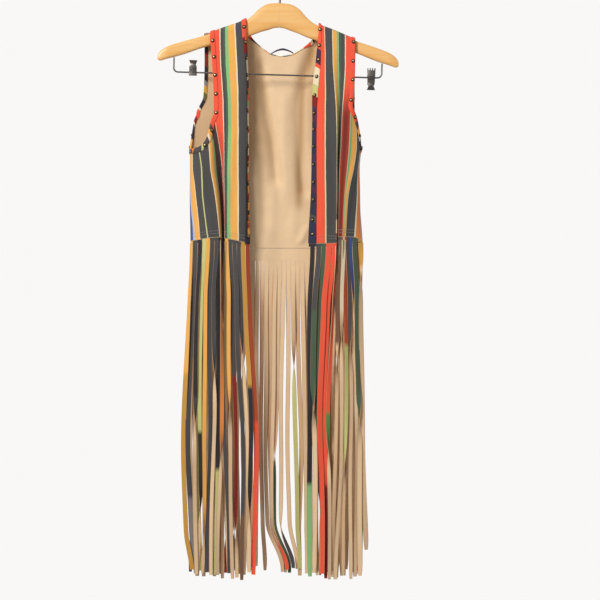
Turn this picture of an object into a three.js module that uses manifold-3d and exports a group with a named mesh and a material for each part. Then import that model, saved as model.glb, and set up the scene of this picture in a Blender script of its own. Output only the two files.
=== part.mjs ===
// Fringed open vest of striped suede cloth, hanging on a wooden clip hanger.
// Millimetres, +Z up. The vest's front faces -Y and the wearer's right side is at -X.
// The origin is the inside of the hook's crown, where the hanger rests on a rail.
import * as THREE from 'three';
import { mergeVertices } from 'three/addons/utils/BufferGeometryUtils.js';
import Module from 'manifold-3d';

const wasm = await Module();
wasm.setup();

// ---------------------------------------------------------------- driving dimensions
const wallThickness = 1.2;      // suede cloth
const seamGap = 0.3;            // between pieces that are sewn together
const bindingWidth = 9;         // bias binding on every raw edge
const bindingThickness = 1.2;
const studRadius = 3.6;         // domed rivet caps along the bindings
const studHeight = 2.4;
const splitHeight = -280;       // where the armholes become straight
const tilt = THREE.MathUtils.degToRad(1.7);

const hanger = { crownToWood: 78, halfSpan: 220, thickness: 13, forward: 12, wire: 4, hookRadius: 19 };
const bar = { diameter: 3, halfSpan: 190, below: 133, bend: 8 };
const clip = { width: 15, length: 23, depth: 11, plate: 1.4, hangingHandle: 17, standingHandle: 5 };
const fringe = {
  pitch: 8, width: 6.6, tipWidth: 5.4, frontHeader: 5, backHeader: 22, tip: -1120,
  spreadOver: 110,              // below the roots the strands ease into their lanes
  driftFrom: 560, driftOver: 360, // lower down they drift apart
  stations: [0.05, 0.12, 0.22, 0.4, 0.56, 0.72, 0.88, 1],   // down each strand, as shares of its length
};
const hemGap = 0.5;             // between a hem and the fringe header under it

const colors = {
  print: { color: 0x54504c, roughness: 0.9, metalness: 0 },
  suede: { color: 0xd8b790, roughness: 0.95, metalness: 0 },
  binding: { color: 0xa8402c, roughness: 0.9, metalness: 0 },
  wood: { color: 0xe6b878, roughness: 0.45, metalness: 0 },
  steel: { color: 0x6d6a66, roughness: 0.35, metalness: 1 },
  label: { color: 0xf2f0ec, roughness: 0.7, metalness: 0 },
  navy: { color: 0x2b2f4c, roughness: 0.8, metalness: 0 },
};

// ---------------------------------------------------------------- curves through short tables
// A curve through the table's points that never overshoots them (monotone cubic). Its ends can be level.
function through(knots, values, { levelStart = false, levelEnd = false } = {}) {
  const n = knots.length;
  const step = knots.slice(1).map((k, i) => k - knots[i]);
  const slope = step.map((h, i) => (values[i + 1] - values[i]) / h);
  const tangent = new Array(n).fill(0);
  tangent[0] = levelStart ? 0 : slope[0];
  tangent[n - 1] = levelEnd ? 0 : slope[n - 2];
  for (let i = 1; i < n - 1; i++) {
    if (slope[i - 1] * slope[i] > 0) {
      const a = 2 * step[i] + step[i - 1];
      const b = step[i] + 2 * step[i - 1];
      tangent[i] = (a + b) / (a / slope[i - 1] + b / slope[i]);
    }
  }
  return (at) => {
    const t = Math.min(Math.max(at, knots[0]), knots[n - 1]);
    let i = 0;
    while (i < n - 2 && t > knots[i + 1]) i++;
    const s = (t - knots[i]) / step[i];
    const s2 = s * s;
    const s3 = s2 * s;
    return (2 * s3 - 3 * s2 + 1) * values[i] + (s3 - 2 * s2 + s) * step[i] * tangent[i]
      + (3 * s2 - 2 * s3) * values[i + 1] + (s3 - s2) * step[i] * tangent[i + 1];
  };
}
const column = (rows, k) => rows.map((row) => row[k]);
const curve = (rows) => through(column(rows, 0), column(rows, 1));
const mix = THREE.MathUtils.lerp;
const ease = (t) => THREE.MathUtils.smoothstep(t, 0, 1);

// ---------------------------------------------------------------- hanger wood outline
// Distance from the centre joint, top edge and bottom edge below the top of the wood.
const woodRows = [
  // span, top, bottom
  [0, 0, -45], [8, -0.5, -46], [20, -2, -50], [34, -9, -54.5], [50, -25, -61], [62, -35, -65],
  [100, -50, -75], [136, -64.5, -86], [178, -78, -102], [204, -88, -110], [216, -97, -113.5],
  [220, -104, -111],
];
const woodTop = through(column(woodRows, 0), column(woodRows, 1));
const woodBottom = through(column(woodRows, 0), column(woodRows, 2));
const armForward = (span) => -hanger.forward * (span / hanger.halfSpan) ** 2;

// Height of the tilted hanger's top edge and the arm's middle at a place across the vest.
function armAt(x) {
  const centre = -hanger.crownToWood * Math.sin(tilt);
  const span = Math.abs(x - centre) / Math.cos(tilt);
  return { top: -hanger.crownToWood + woodTop(span) - (x - centre) * Math.sin(tilt), y: armForward(span) };
}

// ---------------------------------------------------------------- cloth surfaces
// A panel is a surface over (u, w): u runs across the cloth in millimetres and w is the height. Above
// the hanger's arm, w carries on over the top of the arm towards the shoulder seam. A panel meets its
// side seam running straight front to back, so that the two walls butt.
const shoulder = { start: 10, rise: 3.4, reach: 17 };

class Panel {
  // guides: cloth positions of the guide lines; x and y: one row for each height; facing: 1 on a front
  // and -1 on the back; outward: the sign that turns across x up out of the printed face
  constructor({ guides, heights, x, y, facing, outward }) {
    this.guides = guides;
    this.facing = facing;
    this.outward = outward;
    this.xAt = guides.map((_, k) => through(heights, column(x, k)));
    this.yAt = guides.map((_, k) => through(heights, column(y, k)));
    this.lines = new Map();
  }
  guideLines(height) {
    const key = height.toFixed(4);
    if (!this.lines.has(key)) {
      this.lines.set(key, {
        x: through(this.guides, this.xAt.map((f) => f(height)), {
          levelStart: this.facing < 0, levelEnd: true,
        }),
        y: through(this.guides, this.yAt.map((f) => f(height))),
      });
    }
    return this.lines.get(key);
  }
  shoulderStart(u) {
    const probe = this.guideLines(-150).x(u);
    return armAt(probe).top - shoulder.start;
  }
  point(u, w) {
    const start = this.shoulderStart(u);
    const height = Math.min(w, start);
    const lines = this.guideLines(height);
    const x = lines.x(u);
    const y = lines.y(u);
    if (w <= start) return new THREE.Vector3(x, y, w);
    const turn = Math.min((w - start) / shoulder.reach, 1) * Math.PI / 2;
    const seam = armAt(x).y - this.facing * seamGap;
    const climb = (shoulder.start + shoulder.rise) * Math.sin(turn);
    return new THREE.Vector3(x, mix(seam, y, Math.cos(turn)), start + climb);
  }
  normal(u, w) {
    const d = 0.5;
    const across = this.point(u + d, w).sub(this.point(u - d, w));
    const up = this.point(u, w + d).sub(this.point(u, w - d));
    return across.cross(up).normalize().multiplyScalar(this.outward);
  }
}

// The wearer's right front: a deep fold swallows the cloth beside the armhole strap and the side
// part swings forward from it before it wraps back to the side seam.
const frontRight = new Panel({
  facing: 1,
  outward: -1,
  //       edge   rib   cream  strap  fold  crest  flank  turn   side
  guides: [0, 8, 20.5, 51, 70, 98, 123, 140.5, 160],
  heights: [-515, -436, -378, -340, -280, -247, -185, -120],
  x: [
    [-57, -64.5, -77, -102, -104.5, -109.5, -131, -146.5, -165.5],
    [-59, -63.5, -77, -102.5, -106, -118, -141, -155.5, -166.5],
    [-59.5, -63.5, -77.5, -103, -108.5, -127.5, -144, -161, -167.5],
    [-59.5, -63.5, -77.5, -103, -113, -130, -150, -162, -167],
    [-59.5, -64, -77.5, -104, -121.5, -142, -156.5, -164, -166],
    [-59.8, -64.3, -78, -105, -122, -142, -156.5, -164, -166],
    [-61.5, -66.5, -80.5, -109, -125, -142, -156.5, -164, -166],
    [-64, -71.5, -84, -110.5, -131.5, -143.5, -156.5, -164, -166],
  ],
  y: [
    [-17, -23, -26, -25, -8, -33, -35, -29, -13],
    [-15, -22, -25, -25, -8, -30, -32, -24, -7],
    [-14, -21, -25, -25, -8, -27, -28, -18, -2],
    [-13, -20, -24, -25, -10, -26, -24, -14, 1],
    [-13, -19, -22, -23, -19, -21, -18, -11, -1],
    [-13.2, -19.4, -21.5, -22, -20, -20, -16, -9, -1],
    [-12, -18, -19, -19, -19, -18, -14, -8, -1],
    [-12, -13, -13.5, -14.5, -15, -15, -12, -7, -1],
  ],
});

// The wearer's left front: the fold starts at the shoulder and deepens down to the hem.
const frontLeft = new Panel({
  facing: 1,
  outward: 1,
  //       edge   rib   cream  lip   fold   strap  crest  flank  turn   side
  guides: [0, 7, 23.5, 44, 60, 76, 97, 112, 134, 148],
  heights: [-515, -436, -378, -340, -280, -247, -185, -120],
  x: [
    [50, 62, 80.5, 101, 102.2, 104, 112, 117, 132, 148.5],
    [54.5, 63, 80, 101.5, 103.2, 105.5, 115.5, 122, 138, 144.5],
    [56.5, 63, 79.5, 101.5, 104.3, 107.5, 121.5, 133, 141.5, 144],
    [57, 63, 79.5, 101.5, 105.2, 109, 125, 138, 145, 147],
    [57.5, 63.5, 79.5, 100.5, 106.2, 112, 127.5, 138, 145, 147.5],
    [57.5, 65.5, 80, 98.5, 106.5, 114.5, 132.5, 140, 145.5, 147.5],
    [64, 71, 80, 94.5, 106, 118, 134.5, 141, 145.5, 147.5],
    [70.5, 73, 78.5, 93.5, 105.5, 118, 135.5, 142, 145.5, 147.5],
  ],
  y: [
    [-15, -21, -25, -25, -9, -24, -35, -33, -26, -13],
    [-9, -20, -25, -25, -10, -23, -33, -31, -18, -4],
    [-9, -19, -24, -24, -10, -22, -28, -25, -8, 4],
    [-9, -19, -23, -24, -11, -22, -25, -20, -5, 6],
    [-10, -18, -22, -23, -14, -21, -23, -17, -7, 2],
    [-11, -18, -21, -22, -16, -21, -21, -16, -8, 0],
    [-12.5, -16.5, -18.5, -19.5, -17, -19, -19, -15, -8, -1],
    [-12, -13.5, -14.5, -15, -14.5, -15, -16, -13, -7, -1],
  ],
});

// The back: nearly flat, with soft troughs under the shoulder blades, turned forward at the side
// seams, where it follows the edges of the two fronts.
const backHeights = [-515, -436, -378, -340, -280, -247, -185, -120];
const backX = [-148, -104, -61.5, -30, 1.5, 34, 67, 104, 131];
// At the wearer's right the back swells out under the arm: one distance for each height.
const armSwell = [0, 0, 4, 11, 13, 2, 0, 0];
const backRows = backHeights.map((height, k) => {
  const right = frontRight.guideLines(height);
  const left = frontLeft.guideLines(height);
  const [first, second, ...rest] = backX;
  const swollen = [first - armSwell[k], second - armSwell[k] / 2, ...rest];
  return { x: [right.x(160), ...swollen, left.x(148)], right: right.y(160), left: left.y(148) };
});
const backDepth = [
  // heights as above; across: shoulder, strap, trough, ridge, centre, ridge, trough, strap, shoulder
  [9, 17, 18, 15, 20, 17, 14, 19, 12],
  [11, 18, 17, 20, 21, 19, 15, 19, 14],
  [13, 19, 17, 20, 20, 17, 18, 19, 16],
  [13, 19, 17, 19, 20, 17, 18, 19, 16],
  [11, 17, 18, 19, 20, 18, 17, 18, 14],
  [11, 16, 18, 20, 20, 19, 17, 17, 13],
  [11, 14, 16, 20, 21, 20, 16, 14, 11],
  [9, 11, 13, 17, 18, 17, 13, 11, 9],
];
const back = new Panel({
  facing: -1,
  outward: -1,
  guides: [-175, -149, -104, -62, -31, 0, 31, 62, 104, 134, 175],
  heights: backHeights,
  x: backRows.map((row) => row.x),
  y: backRows.map((row, k) => [row.right + seamGap, ...backDepth[k], row.left + seamGap]),
});

// ---------------------------------------------------------------- edges cut into the panels
// cloth position across, height
const underarm = -346;
const sideHem = -515;
const armholeRight = [[70, -280], [78, -294.5], [87, -309], [100, -325.5], [113, -338.5], [125, -344.5],
  [140, -346.5], [160, underarm]];
const armholeLeft = [[97, -265], [104, -277], [112, -290], [121, -309], [130, -326], [139, -340],
  [148, underarm]];
const armholeBack = [[140, splitHeight], [146, -291], [152, -304], [158, -318], [164, -331], [170, -341],
  [175, underarm]];
const neck = [[0, -172.5], [18, -169.5], [31, -161.5], [43, -152], [54, -140.5], [60, -130.5], [66, -119]];
const hemRight = [[0, -520], [20.5, -515], [51, -510], [98, -508.5], [160, sideHem]];
const hemLeft = [[0, -519.5], [44, -519], [60, -514], [76, -508], [134, -508], [148, sideHem]];
const hemBack = [[-175, sideHem], [-140, -522], [-60, -527.5], [60, -527.5], [134, -522], [175, sideHem]];

const rowsBetween = (from, to, count) =>
  Array.from({ length: count }, (_, i) => mix(from, to, (i + 1) / count));

// Mesh rows from the hem to the armholes, up the straps, and over the shoulder. The last row below an
// armhole or the neck is one binding width deep.
const rowCounts = { lower: 9, strap: 6, crest: 4 };
const bandedRows = (from, to, count) => [...rowsBetween(from, to - bindingWidth, count - 1), to];

// Heights of the mesh rows at one place across a front.
function frontHeights(panel, hem, armhole) {
  const hemAt = curve(hem);
  const armholeAt = curve(armhole);
  const [strapEdge, strapBase] = armhole[0];
  return (u) => {
    const bottom = hemAt(u);
    const middle = u > strapEdge ? armholeAt(u) : strapBase;
    const heights = [bottom, ...bandedRows(bottom, middle, rowCounts.lower + 1)];
    return u > strapEdge ? heights : [...heights, ...strapRows(panel, u, middle)];
  };
}

function strapRows(panel, u, from) {
  const start = panel.shoulderStart(u);
  return [...rowsBetween(from, start, rowCounts.strap),
    ...rowsBetween(start, start + shoulder.reach, rowCounts.crest)];
}

const strapOuter = armholeBack[0][0];
const strapInner = neck[neck.length - 1][0];

function backHeightsAt(u) {
  const bottom = curve(hemBack)(u);
  const side = Math.abs(u);
  const middle = side > strapOuter ? curve(armholeBack)(side) : splitHeight;
  const heights = [bottom, ...bandedRows(bottom, middle, rowCounts.lower + 1)];
  if (side > strapOuter) return heights;
  if (side < strapInner) return [...heights, ...bandedRows(middle, curve(neck)(side), rowCounts.strap)];
  return [...heights, ...strapRows(back, u, middle)];
}

// ---------------------------------------------------------------- closed walls
// A wall from a grid with ragged column lengths: outer points, the same points moved inwards, and a
// rim wherever a cell has no neighbour. keep picks the cells (column, row) that the wall is made of.
function wallGeometry(outer, inner, keep = () => true) {
  const height = outer.reduce((most, line) => Math.max(most, line.length), 0);
  const number = (side, i, j) => (side * outer.length + i) * height + j;
  const points = new Array(2 * outer.length * height * 3).fill(0);
  [outer, inner].forEach((grid, side) => grid.forEach((line, i) => line.forEach((p, j) => {
    points.splice(number(side, i, j) * 3, 3, p.x, p.y, p.z);
  })));
  const faces = [];
  const quad = (a, b, c, d) => faces.push(a, b, c, a, c, d);
  const has = (i, j) => i >= 0 && j >= 0 && i + 1 < outer.length
    && j + 1 < Math.min(outer[i].length, outer[i + 1].length) && keep(i, j);
  for (let i = 0; i + 1 < outer.length; i++) {
    for (let j = 0; j + 1 < height; j++) {
      if (!has(i, j)) continue;
      const corners = [[i, j], [i + 1, j], [i + 1, j + 1], [i, j + 1]];
      const beside = [[i, j - 1], [i + 1, j], [i, j + 1], [i - 1, j]];
      quad(...corners.map(([a, b]) => number(0, a, b)));
      const [a, b, c, d] = corners.map(([u, v]) => number(1, u, v));
      faces.push(a, c, b, a, d, c);
      beside.forEach(([u, v], k) => {
        if (has(u, v)) return;
        const [p, q] = [corners[k], corners[(k + 1) % 4]];
        quad(number(0, ...q), number(0, ...p), number(1, ...p), number(1, ...q));
      });
    }
  }
  return solid(points, faces);
}

// An indexed geometry that faces outwards, whichever way its grid ran.
function solid(points, faces) {
  const geometry = new THREE.BufferGeometry();
  geometry.setAttribute('position', new THREE.Float32BufferAttribute(points, 3));
  geometry.setIndex(faces);
  const merged = mergeVertices(geometry, 1e-4);
  if (volume(merged) < 0) {
    const order = merged.index.array;
    for (let t = 0; t < order.length; t += 3) [order[t], order[t + 1]] = [order[t + 1], order[t]];
  }
  merged.computeVertexNormals();
  return merged;
}

function volume(geometry) {
  const p = geometry.attributes.position;
  const order = geometry.index.array;
  const [a, b, c] = [new THREE.Vector3(), new THREE.Vector3(), new THREE.Vector3()];
  let sum = 0;
  for (let t = 0; t < order.length; t += 3) {
    a.fromBufferAttribute(p, order[t]);
    b.fromBufferAttribute(p, order[t + 1]);
    c.fromBufferAttribute(p, order[t + 2]);
    sum += a.dot(b.cross(c)) / 6;
  }
  return sum;
}

// Points of a panel over (u, w), moved out of its printed face by lift (inwards when negative).
const lifted = (panel, u, w, lift) => panel.point(u, w).addScaledVector(panel.normal(u, w), lift);

const liftedGrid = (panel, across, heightsAt, lift) =>
  across.map((u) => heightsAt(u).map((w) => lifted(panel, u, w, lift)));

const panelWall = ({ panel, across, heightsAt }) =>
  wallGeometry(liftedGrid(panel, across, heightsAt, 0), liftedGrid(panel, across, heightsAt, -wallThickness));

// A band of binding over the panel's own cells along an edge, moved out of its printed face.
const bandWall = ({ panel, across, heightsAt }, keep) => wallGeometry(
  liftedGrid(panel, across, heightsAt, seamGap + bindingThickness),
  liftedGrid(panel, across, heightsAt, seamGap),
  (i, j) => keep((across[i] + across[i + 1]) / 2, j),
);

// ---------------------------------------------------------------- joins
function toManifold(geometry) {
  const bare = new THREE.BufferGeometry();
  bare.setAttribute('position', geometry.attributes.position.clone());
  if (geometry.index) bare.setIndex(geometry.index.clone());
  const merged = mergeVertices(bare, 1e-4);
  return new wasm.Manifold(new wasm.Mesh({
    numProp: 3,
    vertProperties: new Float32Array(merged.attributes.position.array),
    triVerts: new Uint32Array(merged.index.array),
  }));
}

function fromManifold(body) {
  const mesh = body.getMesh();
  return solid(Array.from(mesh.vertProperties), Array.from(mesh.triVerts));
}

const fuse = (geometries) => fromManifold(geometries.map(toManifold).reduce((sum, part) => sum.add(part)));

// ---------------------------------------------------------------- studs
// A low dome standing on the binding, sunk into it at its foot.
function stud(panel, u, w) {
  const profile = [[0, -0.7], [studRadius, -0.7], [studRadius * 0.8, studHeight * 0.7], [0, studHeight]];
  const dome = new THREE.LatheGeometry(profile.map(([r, h]) => new THREE.Vector2(r, h)), 6);
  const turn = new THREE.Quaternion().setFromUnitVectors(new THREE.Vector3(0, 1, 0), panel.normal(u, w));
  const foot = lifted(panel, u, w, seamGap + bindingThickness);
  dome.applyMatrix4(new THREE.Matrix4().compose(foot, turn, new THREE.Vector3(1, 1, 1)));
  return dome;
}

// Studs along an edge path over (u, w), at the given distances from its start.
// side is the way to the inside of the cloth: +1 to the left of the path, -1 to the right.
function studsAlong(panel, path, side, distances) {
  const knots = path.map(([u, w]) => new THREE.Vector3(u, w, 0));
  const line = new THREE.CatmullRomCurve3(knots, false, 'centripetal');
  const length = line.getLength();
  const inset = side * bindingWidth / 2;
  return distances.map((at) => {
    const p = line.getPointAt(at / length);
    const t = line.getTangentAt(at / length);
    return stud(panel, p.x - t.y * inset, p.y + t.x * inset);
  });
}

const studdedBand = (piece, keep, path, side, distances) =>
  fuse([bandWall(piece, keep), ...studsAlong(piece.panel, path, side, distances)]);

// ---------------------------------------------------------------- fringe
// A repeatable number from 0 to 1 for each strand and purpose.
const chance = (i, salt) => {
  const v = Math.sin(i * 12.9898 + salt * 78.233) * 43758.5453;
  return v - Math.floor(v);
};

// Where each strand of a fringe hangs: it leaves the cloth at its root, eases into its own lane, in front
// or in the middle by turns, or behind where its root lies in the fold, and drifts to a lower lane.
// lanes and lowLanes give the place across the vest for a share of the way from the first strand in
// front to the last.
function strandPaths({ panel, from, to, lift, hem, header, lanes, lowLanes, layers, fold, salt, drift }) {
  const count = Math.round((to - from) / fringe.pitch);
  const isBehind = (u) => fold && u > fold.from && u < fold.to;
  const all = Array.from({ length: count }, (_, i) => ({ i, u: mix(from, to, (i + 0.5) / count) }));
  const ahead = all.filter(({ u }) => !isBehind(u));
  const behind = all.filter(({ u }) => isBehind(u));
  return all.map(({ i, u }) => {
    const top = hem(u) - header;
    const root = lifted(panel, u, top, -lift);
    const beside = panel.point(u + 0.5, top).sub(panel.point(u - 0.5, top));
    const tip = fringe.tip - 12 * chance(i, salt) + 10 * chance(i, salt + 1);
    const place = ahead.findIndex((s) => s.i === i);
    const row = behind.findIndex((s) => s.i === i);
    const share = (place + 0.5) / ahead.length;
    const stray = 3 * (chance(i, salt + 2) - 0.5);
    const tucked = fold ? fold.middle + fold.spread * (row - (behind.length - 1) / 2) : 0;
    const lane = place < 0 ? tucked : curve(lanes)(share) + stray;
    const lowLane = place < 0 ? tucked + fold.spread * 0.4 : curve(lowLanes)(share) + stray;
    const depth = place < 0 ? layers[2] : layers[place % 2] + 1.6 * (chance(i, salt + 3) - 0.5);
    const rootAngle = Math.atan2(beside.y, beside.x);
    const level = Math.round(rootAngle / Math.PI) * Math.PI;
    const turns = (chance(i, salt + 4) - 0.5) * 2.8;
    return {
      u,
      centre: (t) => {
        const z = mix(top, tip, t);
        const spread = ease((top - z) / fringe.spreadOver);
        const lower = ease((-z - fringe.driftFrom) / fringe.driftOver);
        const x = mix(root.x, lane, spread) + (lowLane - lane) * lower + drift((i + 0.5) / count, z);
        return new THREE.Vector3(x, mix(root.y, depth, spread), z);
      },
      angle: (t) => mix(rootAngle, level + turns, ease((t - 0.12) * 1.2)),
    };
  });
}

// A header strip that carries on the panel's surface below its hem and runs down into its strands,
// all one closed body.
function fringeGeometry({ panel, across, hem, header, ...rest }) {
  const half = wallThickness / 2;
  const hemAt = curve(hem);
  const [from, to] = [across[0], across[across.length - 1]];
  const paths = strandPaths({ panel, from, to, lift: half, hem: (u) => hemAt(u) - hemGap, header, ...rest });
  const edge = fringe.width / 2;
  const columns = [from + seamGap, ...paths.flatMap(({ u }) => [u - edge, u + edge]), to - seamGap];
  const points = [];
  const faces = [];
  const quad = (a, b, c, d) => faces.push(a, b, c, a, c, d);
  const put = (p) => points.push(p.x, p.y, p.z) / 3 - 1;
  const rows = columns.map((u) => {
    const top = hemAt(u) - hemGap;
    const [low, high] = [top - header, top];
    return {
      outLow: put(lifted(panel, u, low, 0)), outHigh: put(lifted(panel, u, high, 0)),
      inLow: put(lifted(panel, u, low, -wallThickness)), inHigh: put(lifted(panel, u, high, -wallThickness)),
    };
  });
  const [first, last] = [rows[0], rows[rows.length - 1]];
  quad(first.outLow, first.outHigh, first.inHigh, first.inLow);
  quad(last.outHigh, last.outLow, last.inLow, last.inHigh);
  rows.slice(1).forEach((b, k) => {
    const a = rows[k];
    quad(a.outLow, b.outLow, b.outHigh, a.outHigh);
    quad(b.inLow, a.inLow, a.inHigh, b.inHigh);
    quad(a.outHigh, b.outHigh, b.inHigh, a.inHigh);
    if (k % 2 === 0) quad(b.outLow, a.outLow, a.inLow, b.inLow);
  });
  paths.forEach(({ centre, angle }, i) => {
    const [a, b] = [rows[1 + 2 * i], rows[2 + 2 * i]];
    let ring = [a.outLow, b.outLow, b.inLow, a.inLow];
    for (const t of fringe.stations) {
      const wide = new THREE.Vector3(Math.cos(angle(t)), Math.sin(angle(t)), 0);
      const out = new THREE.Vector3(-wide.y, wide.x, 0).multiplyScalar(-panel.outward);
      const reach = mix(edge, fringe.tipWidth / 2, t);
      const next = [[-1, 1], [1, 1], [1, -1], [-1, -1]].map(([side, face]) =>
        put(centre(t).addScaledVector(wide, side * reach).addScaledVector(out, face * half)));
      quad(next[0], next[1], ring[1], ring[0]);
      quad(next[1], next[2], ring[2], ring[1]);
      quad(next[3], ring[3], ring[2], next[2]);   // split the same way as the printed side
      quad(next[3], next[0], ring[0], ring[3]);
      ring = next;
    }
    quad(ring[1], ring[0], ring[3], ring[2]);
  });
  return solid(points, faces);
}

// ---------------------------------------------------------------- hanger
// Half of the wooden hanger: rounded sections from the centre joint out to the tip.
function woodHalf(direction) {
  const sides = 12;
  const spans = [seamGap / 2, 8, 20, 34, 50, 62, 80, 100, 136, 178, 204, 214, 220];
  const points = [];
  const faces = [];
  spans.forEach((span) => {
    const [top, bottom] = [woodTop(span), woodBottom(span)];
    const thickness = hanger.thickness * (span > 210 ? 0.6 : 1);
    for (let k = 0; k < sides; k++) {
      const angle = (k / sides) * Math.PI * 2 + Math.PI / sides;
      const round = (v) => Math.sign(v) * Math.abs(v) ** 0.55;
      points.push(
        direction * span,
        armForward(span) + round(Math.cos(angle)) * thickness / 2,
        -hanger.crownToWood + (top + bottom) / 2 + round(Math.sin(angle)) * (top - bottom) / 2,
      );
    }
  });
  for (let s = 0; s + 1 < spans.length; s++) {
    for (let k = 0; k < sides; k++) {
      const [a, b] = [s * sides + k, s * sides + (k + 1) % sides];
      faces.push(a, b, b + sides, a, b + sides, a + sides);
    }
  }
  const last = (spans.length - 1) * sides;
  for (let k = 1; k + 1 < sides; k++) {
    faces.push(0, k + 1, k, last, last + k, last + k + 1);
  }
  return solid(points, faces);
}

function roundOutline(radius, sides) {
  return Array.from({ length: sides }, (_, k) => {
    const angle = (k / sides) * Math.PI * 2;
    return new THREE.Vector2(Math.cos(angle) * radius, Math.sin(angle) * radius);
  });
}

// A path whose own points are the stations of the wire, so that straight stretches stay straight.
class Stations extends THREE.Curve {
  constructor(points) {
    super();
    this.points = points.map((p) => new THREE.Vector3(...p));
  }
  getPoint(t) {
    const at = t * (this.points.length - 1);
    const i = Math.min(Math.floor(at), this.points.length - 2);
    return this.points[i].clone().lerp(this.points[i + 1], at - i);
  }
  getUtoTmapping(u) {
    return u;
  }
}

function roundWire(points, diameter) {
  const section = new THREE.Shape(roundOutline(diameter / 2, 8));
  const path = new Stations(points);
  const steps = points.length - 1;
  return new THREE.ExtrudeGeometry(section, { steps, extrudePath: path, bevelEnabled: false });
}

// Points round an arc in the XZ plane, by degrees from +X.
const arcPoints = (x, y, z, radius, degrees) => degrees.map((angle) => {
  const a = THREE.MathUtils.degToRad(angle);
  return [x + radius * Math.cos(a), y, z + radius * Math.sin(a)];
});

// The hook: a shank out of the wood, a neck that swings out and the round crown over the origin.
function hookGeometry() {
  const r = hanger.hookRadius;
  const centre = hanger.wire / 2 - r;
  const shank = [[0, 0, -hanger.crownToWood + seamGap], [0, 0, -58], [1.5, 0, -51], [5.5, 0, -44],
    [11, 0, -37.5], [16, 0, -30.5]];
  const crown = arcPoints(0, 0, centre, r, [-15, 5, 25, 45, 65, 90, 115, 135, 155, 175, 195, 212]);
  return roundWire([...shank, ...crown], hanger.wire);
}

// The clip bar: up into the wood at both ends, straight between.
function barGeometry() {
  const { halfSpan, below, bend, diameter } = bar;
  const level = -hanger.crownToWood - below;
  const top = -hanger.crownToWood + woodBottom(halfSpan) - seamGap - 0.6;
  const y = armForward(halfSpan);
  const rightBend = arcPoints(halfSpan - bend, y, level + bend, bend, [0, -22, -45, -68, -90]);
  const leftBend = arcPoints(bend - halfSpan, y, level + bend, bend, [-90, -112, -135, -158, -180]);
  return roundWire([[halfSpan, y, top], ...rightBend, ...leftBend, [-halfSpan, y, top]], diameter);
}

// A pinch clip round the bar: a folded steel strip with two jaws that meet at their tips and two short
// handles on the other side of the bar.
function clipGeometry(handle) {
  const { width, length, depth, plate } = clip;
  const hold = bar.diameter / 2 + seamGap + 0.1;
  const shoulderAt = -length * 0.62;
  const neckAt = -hold - plate;
  const roof = hold + plate + 0.5;
  const half = [[plate, -length], [depth / 2, shoulderAt], [hold + plate, neckAt], [hold + plate, roof],
    [hold + plate, handle], [hold, handle], [0.4, roof]];
  const turnedRound = half.slice().reverse().map(([y, z]) => [-y, z]);
  const outline = new THREE.Shape([...half, ...turnedRound].map(([y, z]) => new THREE.Vector2(y, z)));
  const eye = new THREE.Path(roundOutline(hold, 10).reverse());
  const between = new THREE.Path([
    [0, -length + 4], [plate - depth / 2 + 0.6, shoulderAt], [-hold, neckAt - 2], [hold, neckAt - 2],
    [depth / 2 - plate - 0.6, shoulderAt],
  ].map(([y, z]) => new THREE.Vector2(y, z)));
  outline.holes.push(eye, between);
  const strip = new THREE.ExtrudeGeometry(outline, { depth: width, steps: 1, bevelEnabled: false });
  strip.translate(0, 0, -width / 2);
  const stand = new THREE.Matrix4().makeBasis(
    new THREE.Vector3(0, 1, 0), new THREE.Vector3(0, 0, 1), new THREE.Vector3(1, 0, 0));
  strip.applyMatrix4(stand);
  return strip;
}

// ---------------------------------------------------------------- label and loop
// A flat patch that stands up behind the neck edge, between two distances out of the back.
const patchFoot = -179;
function standingPatch(spans, heights, near, far) {
  const grid = (d) => spans.map((u) => heights(u).map((w) => lifted(back, u, patchFoot, d).setZ(w)));
  return wallGeometry(grid(far), grid(near));
}

// ---------------------------------------------------------------- the object
const vest = new THREE.Group();

function add(parent, name, geometry, look) {
  const mesh = new THREE.Mesh(geometry, new THREE.MeshStandardMaterial(look));
  mesh.name = name;
  parent.add(mesh);
  return mesh;
}

const bandAt = bindingWidth;
const pieces = {
  right: {
    panel: frontRight,
    across: [0, bandAt / 2, bandAt, 14, 20.5, 30, 41, 51, 56, 61, 66, 70, 75, 81, 89, 98, 110, 123, 132,
      140.5, 150, 160],
    heightsAt: frontHeights(frontRight, hemRight, armholeRight),
  },
  left: {
    panel: frontLeft,
    across: [0, bandAt / 2, bandAt, 15, 23.5, 34, 44, 49, 54, 60, 66, 71, 76, 83, 88, 97, 104, 112, 123,
      134, 141, 148],
    heightsAt: frontHeights(frontLeft, hemLeft, armholeLeft),
  },
  back: {
    panel: back,
    across: [-175, -168, -160, -150, -140, -131, -118, -104, -84, -66, -50, -36, -20, 0, 20, 36, 50, 66,
      84, 104, 118, 131, 140, 150, 160, 168, 175],
    heightsAt: backHeightsAt,
  },
};

add(vest, 'back', panelWall(pieces.back), colors.print);
add(vest, 'front_right', panelWall(pieces.right), colors.print);
add(vest, 'front_left', panelWall(pieces.left), colors.print);

// Edge paths for the studs, from the hem or side seam up to the shoulder seam.
const overShoulder = (panel, u) => panel.shoulderStart(u) + shoulder.reach;
const frontEdge = (panel, hem) =>
  [[0, hem], [0, -400], [0, splitHeight], [0, -190], [0, overShoulder(panel, 0)]];
const armEdge = (panel, armhole, direction) => {
  const [edge, base] = armhole[0];
  const straight = [[edge, base], [edge, -220], [edge, -170], [edge, overShoulder(panel, edge * direction)]];
  return [...armhole.slice(1).reverse(), ...straight].map(([u, w]) => [u * direction, w]);
};

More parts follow.
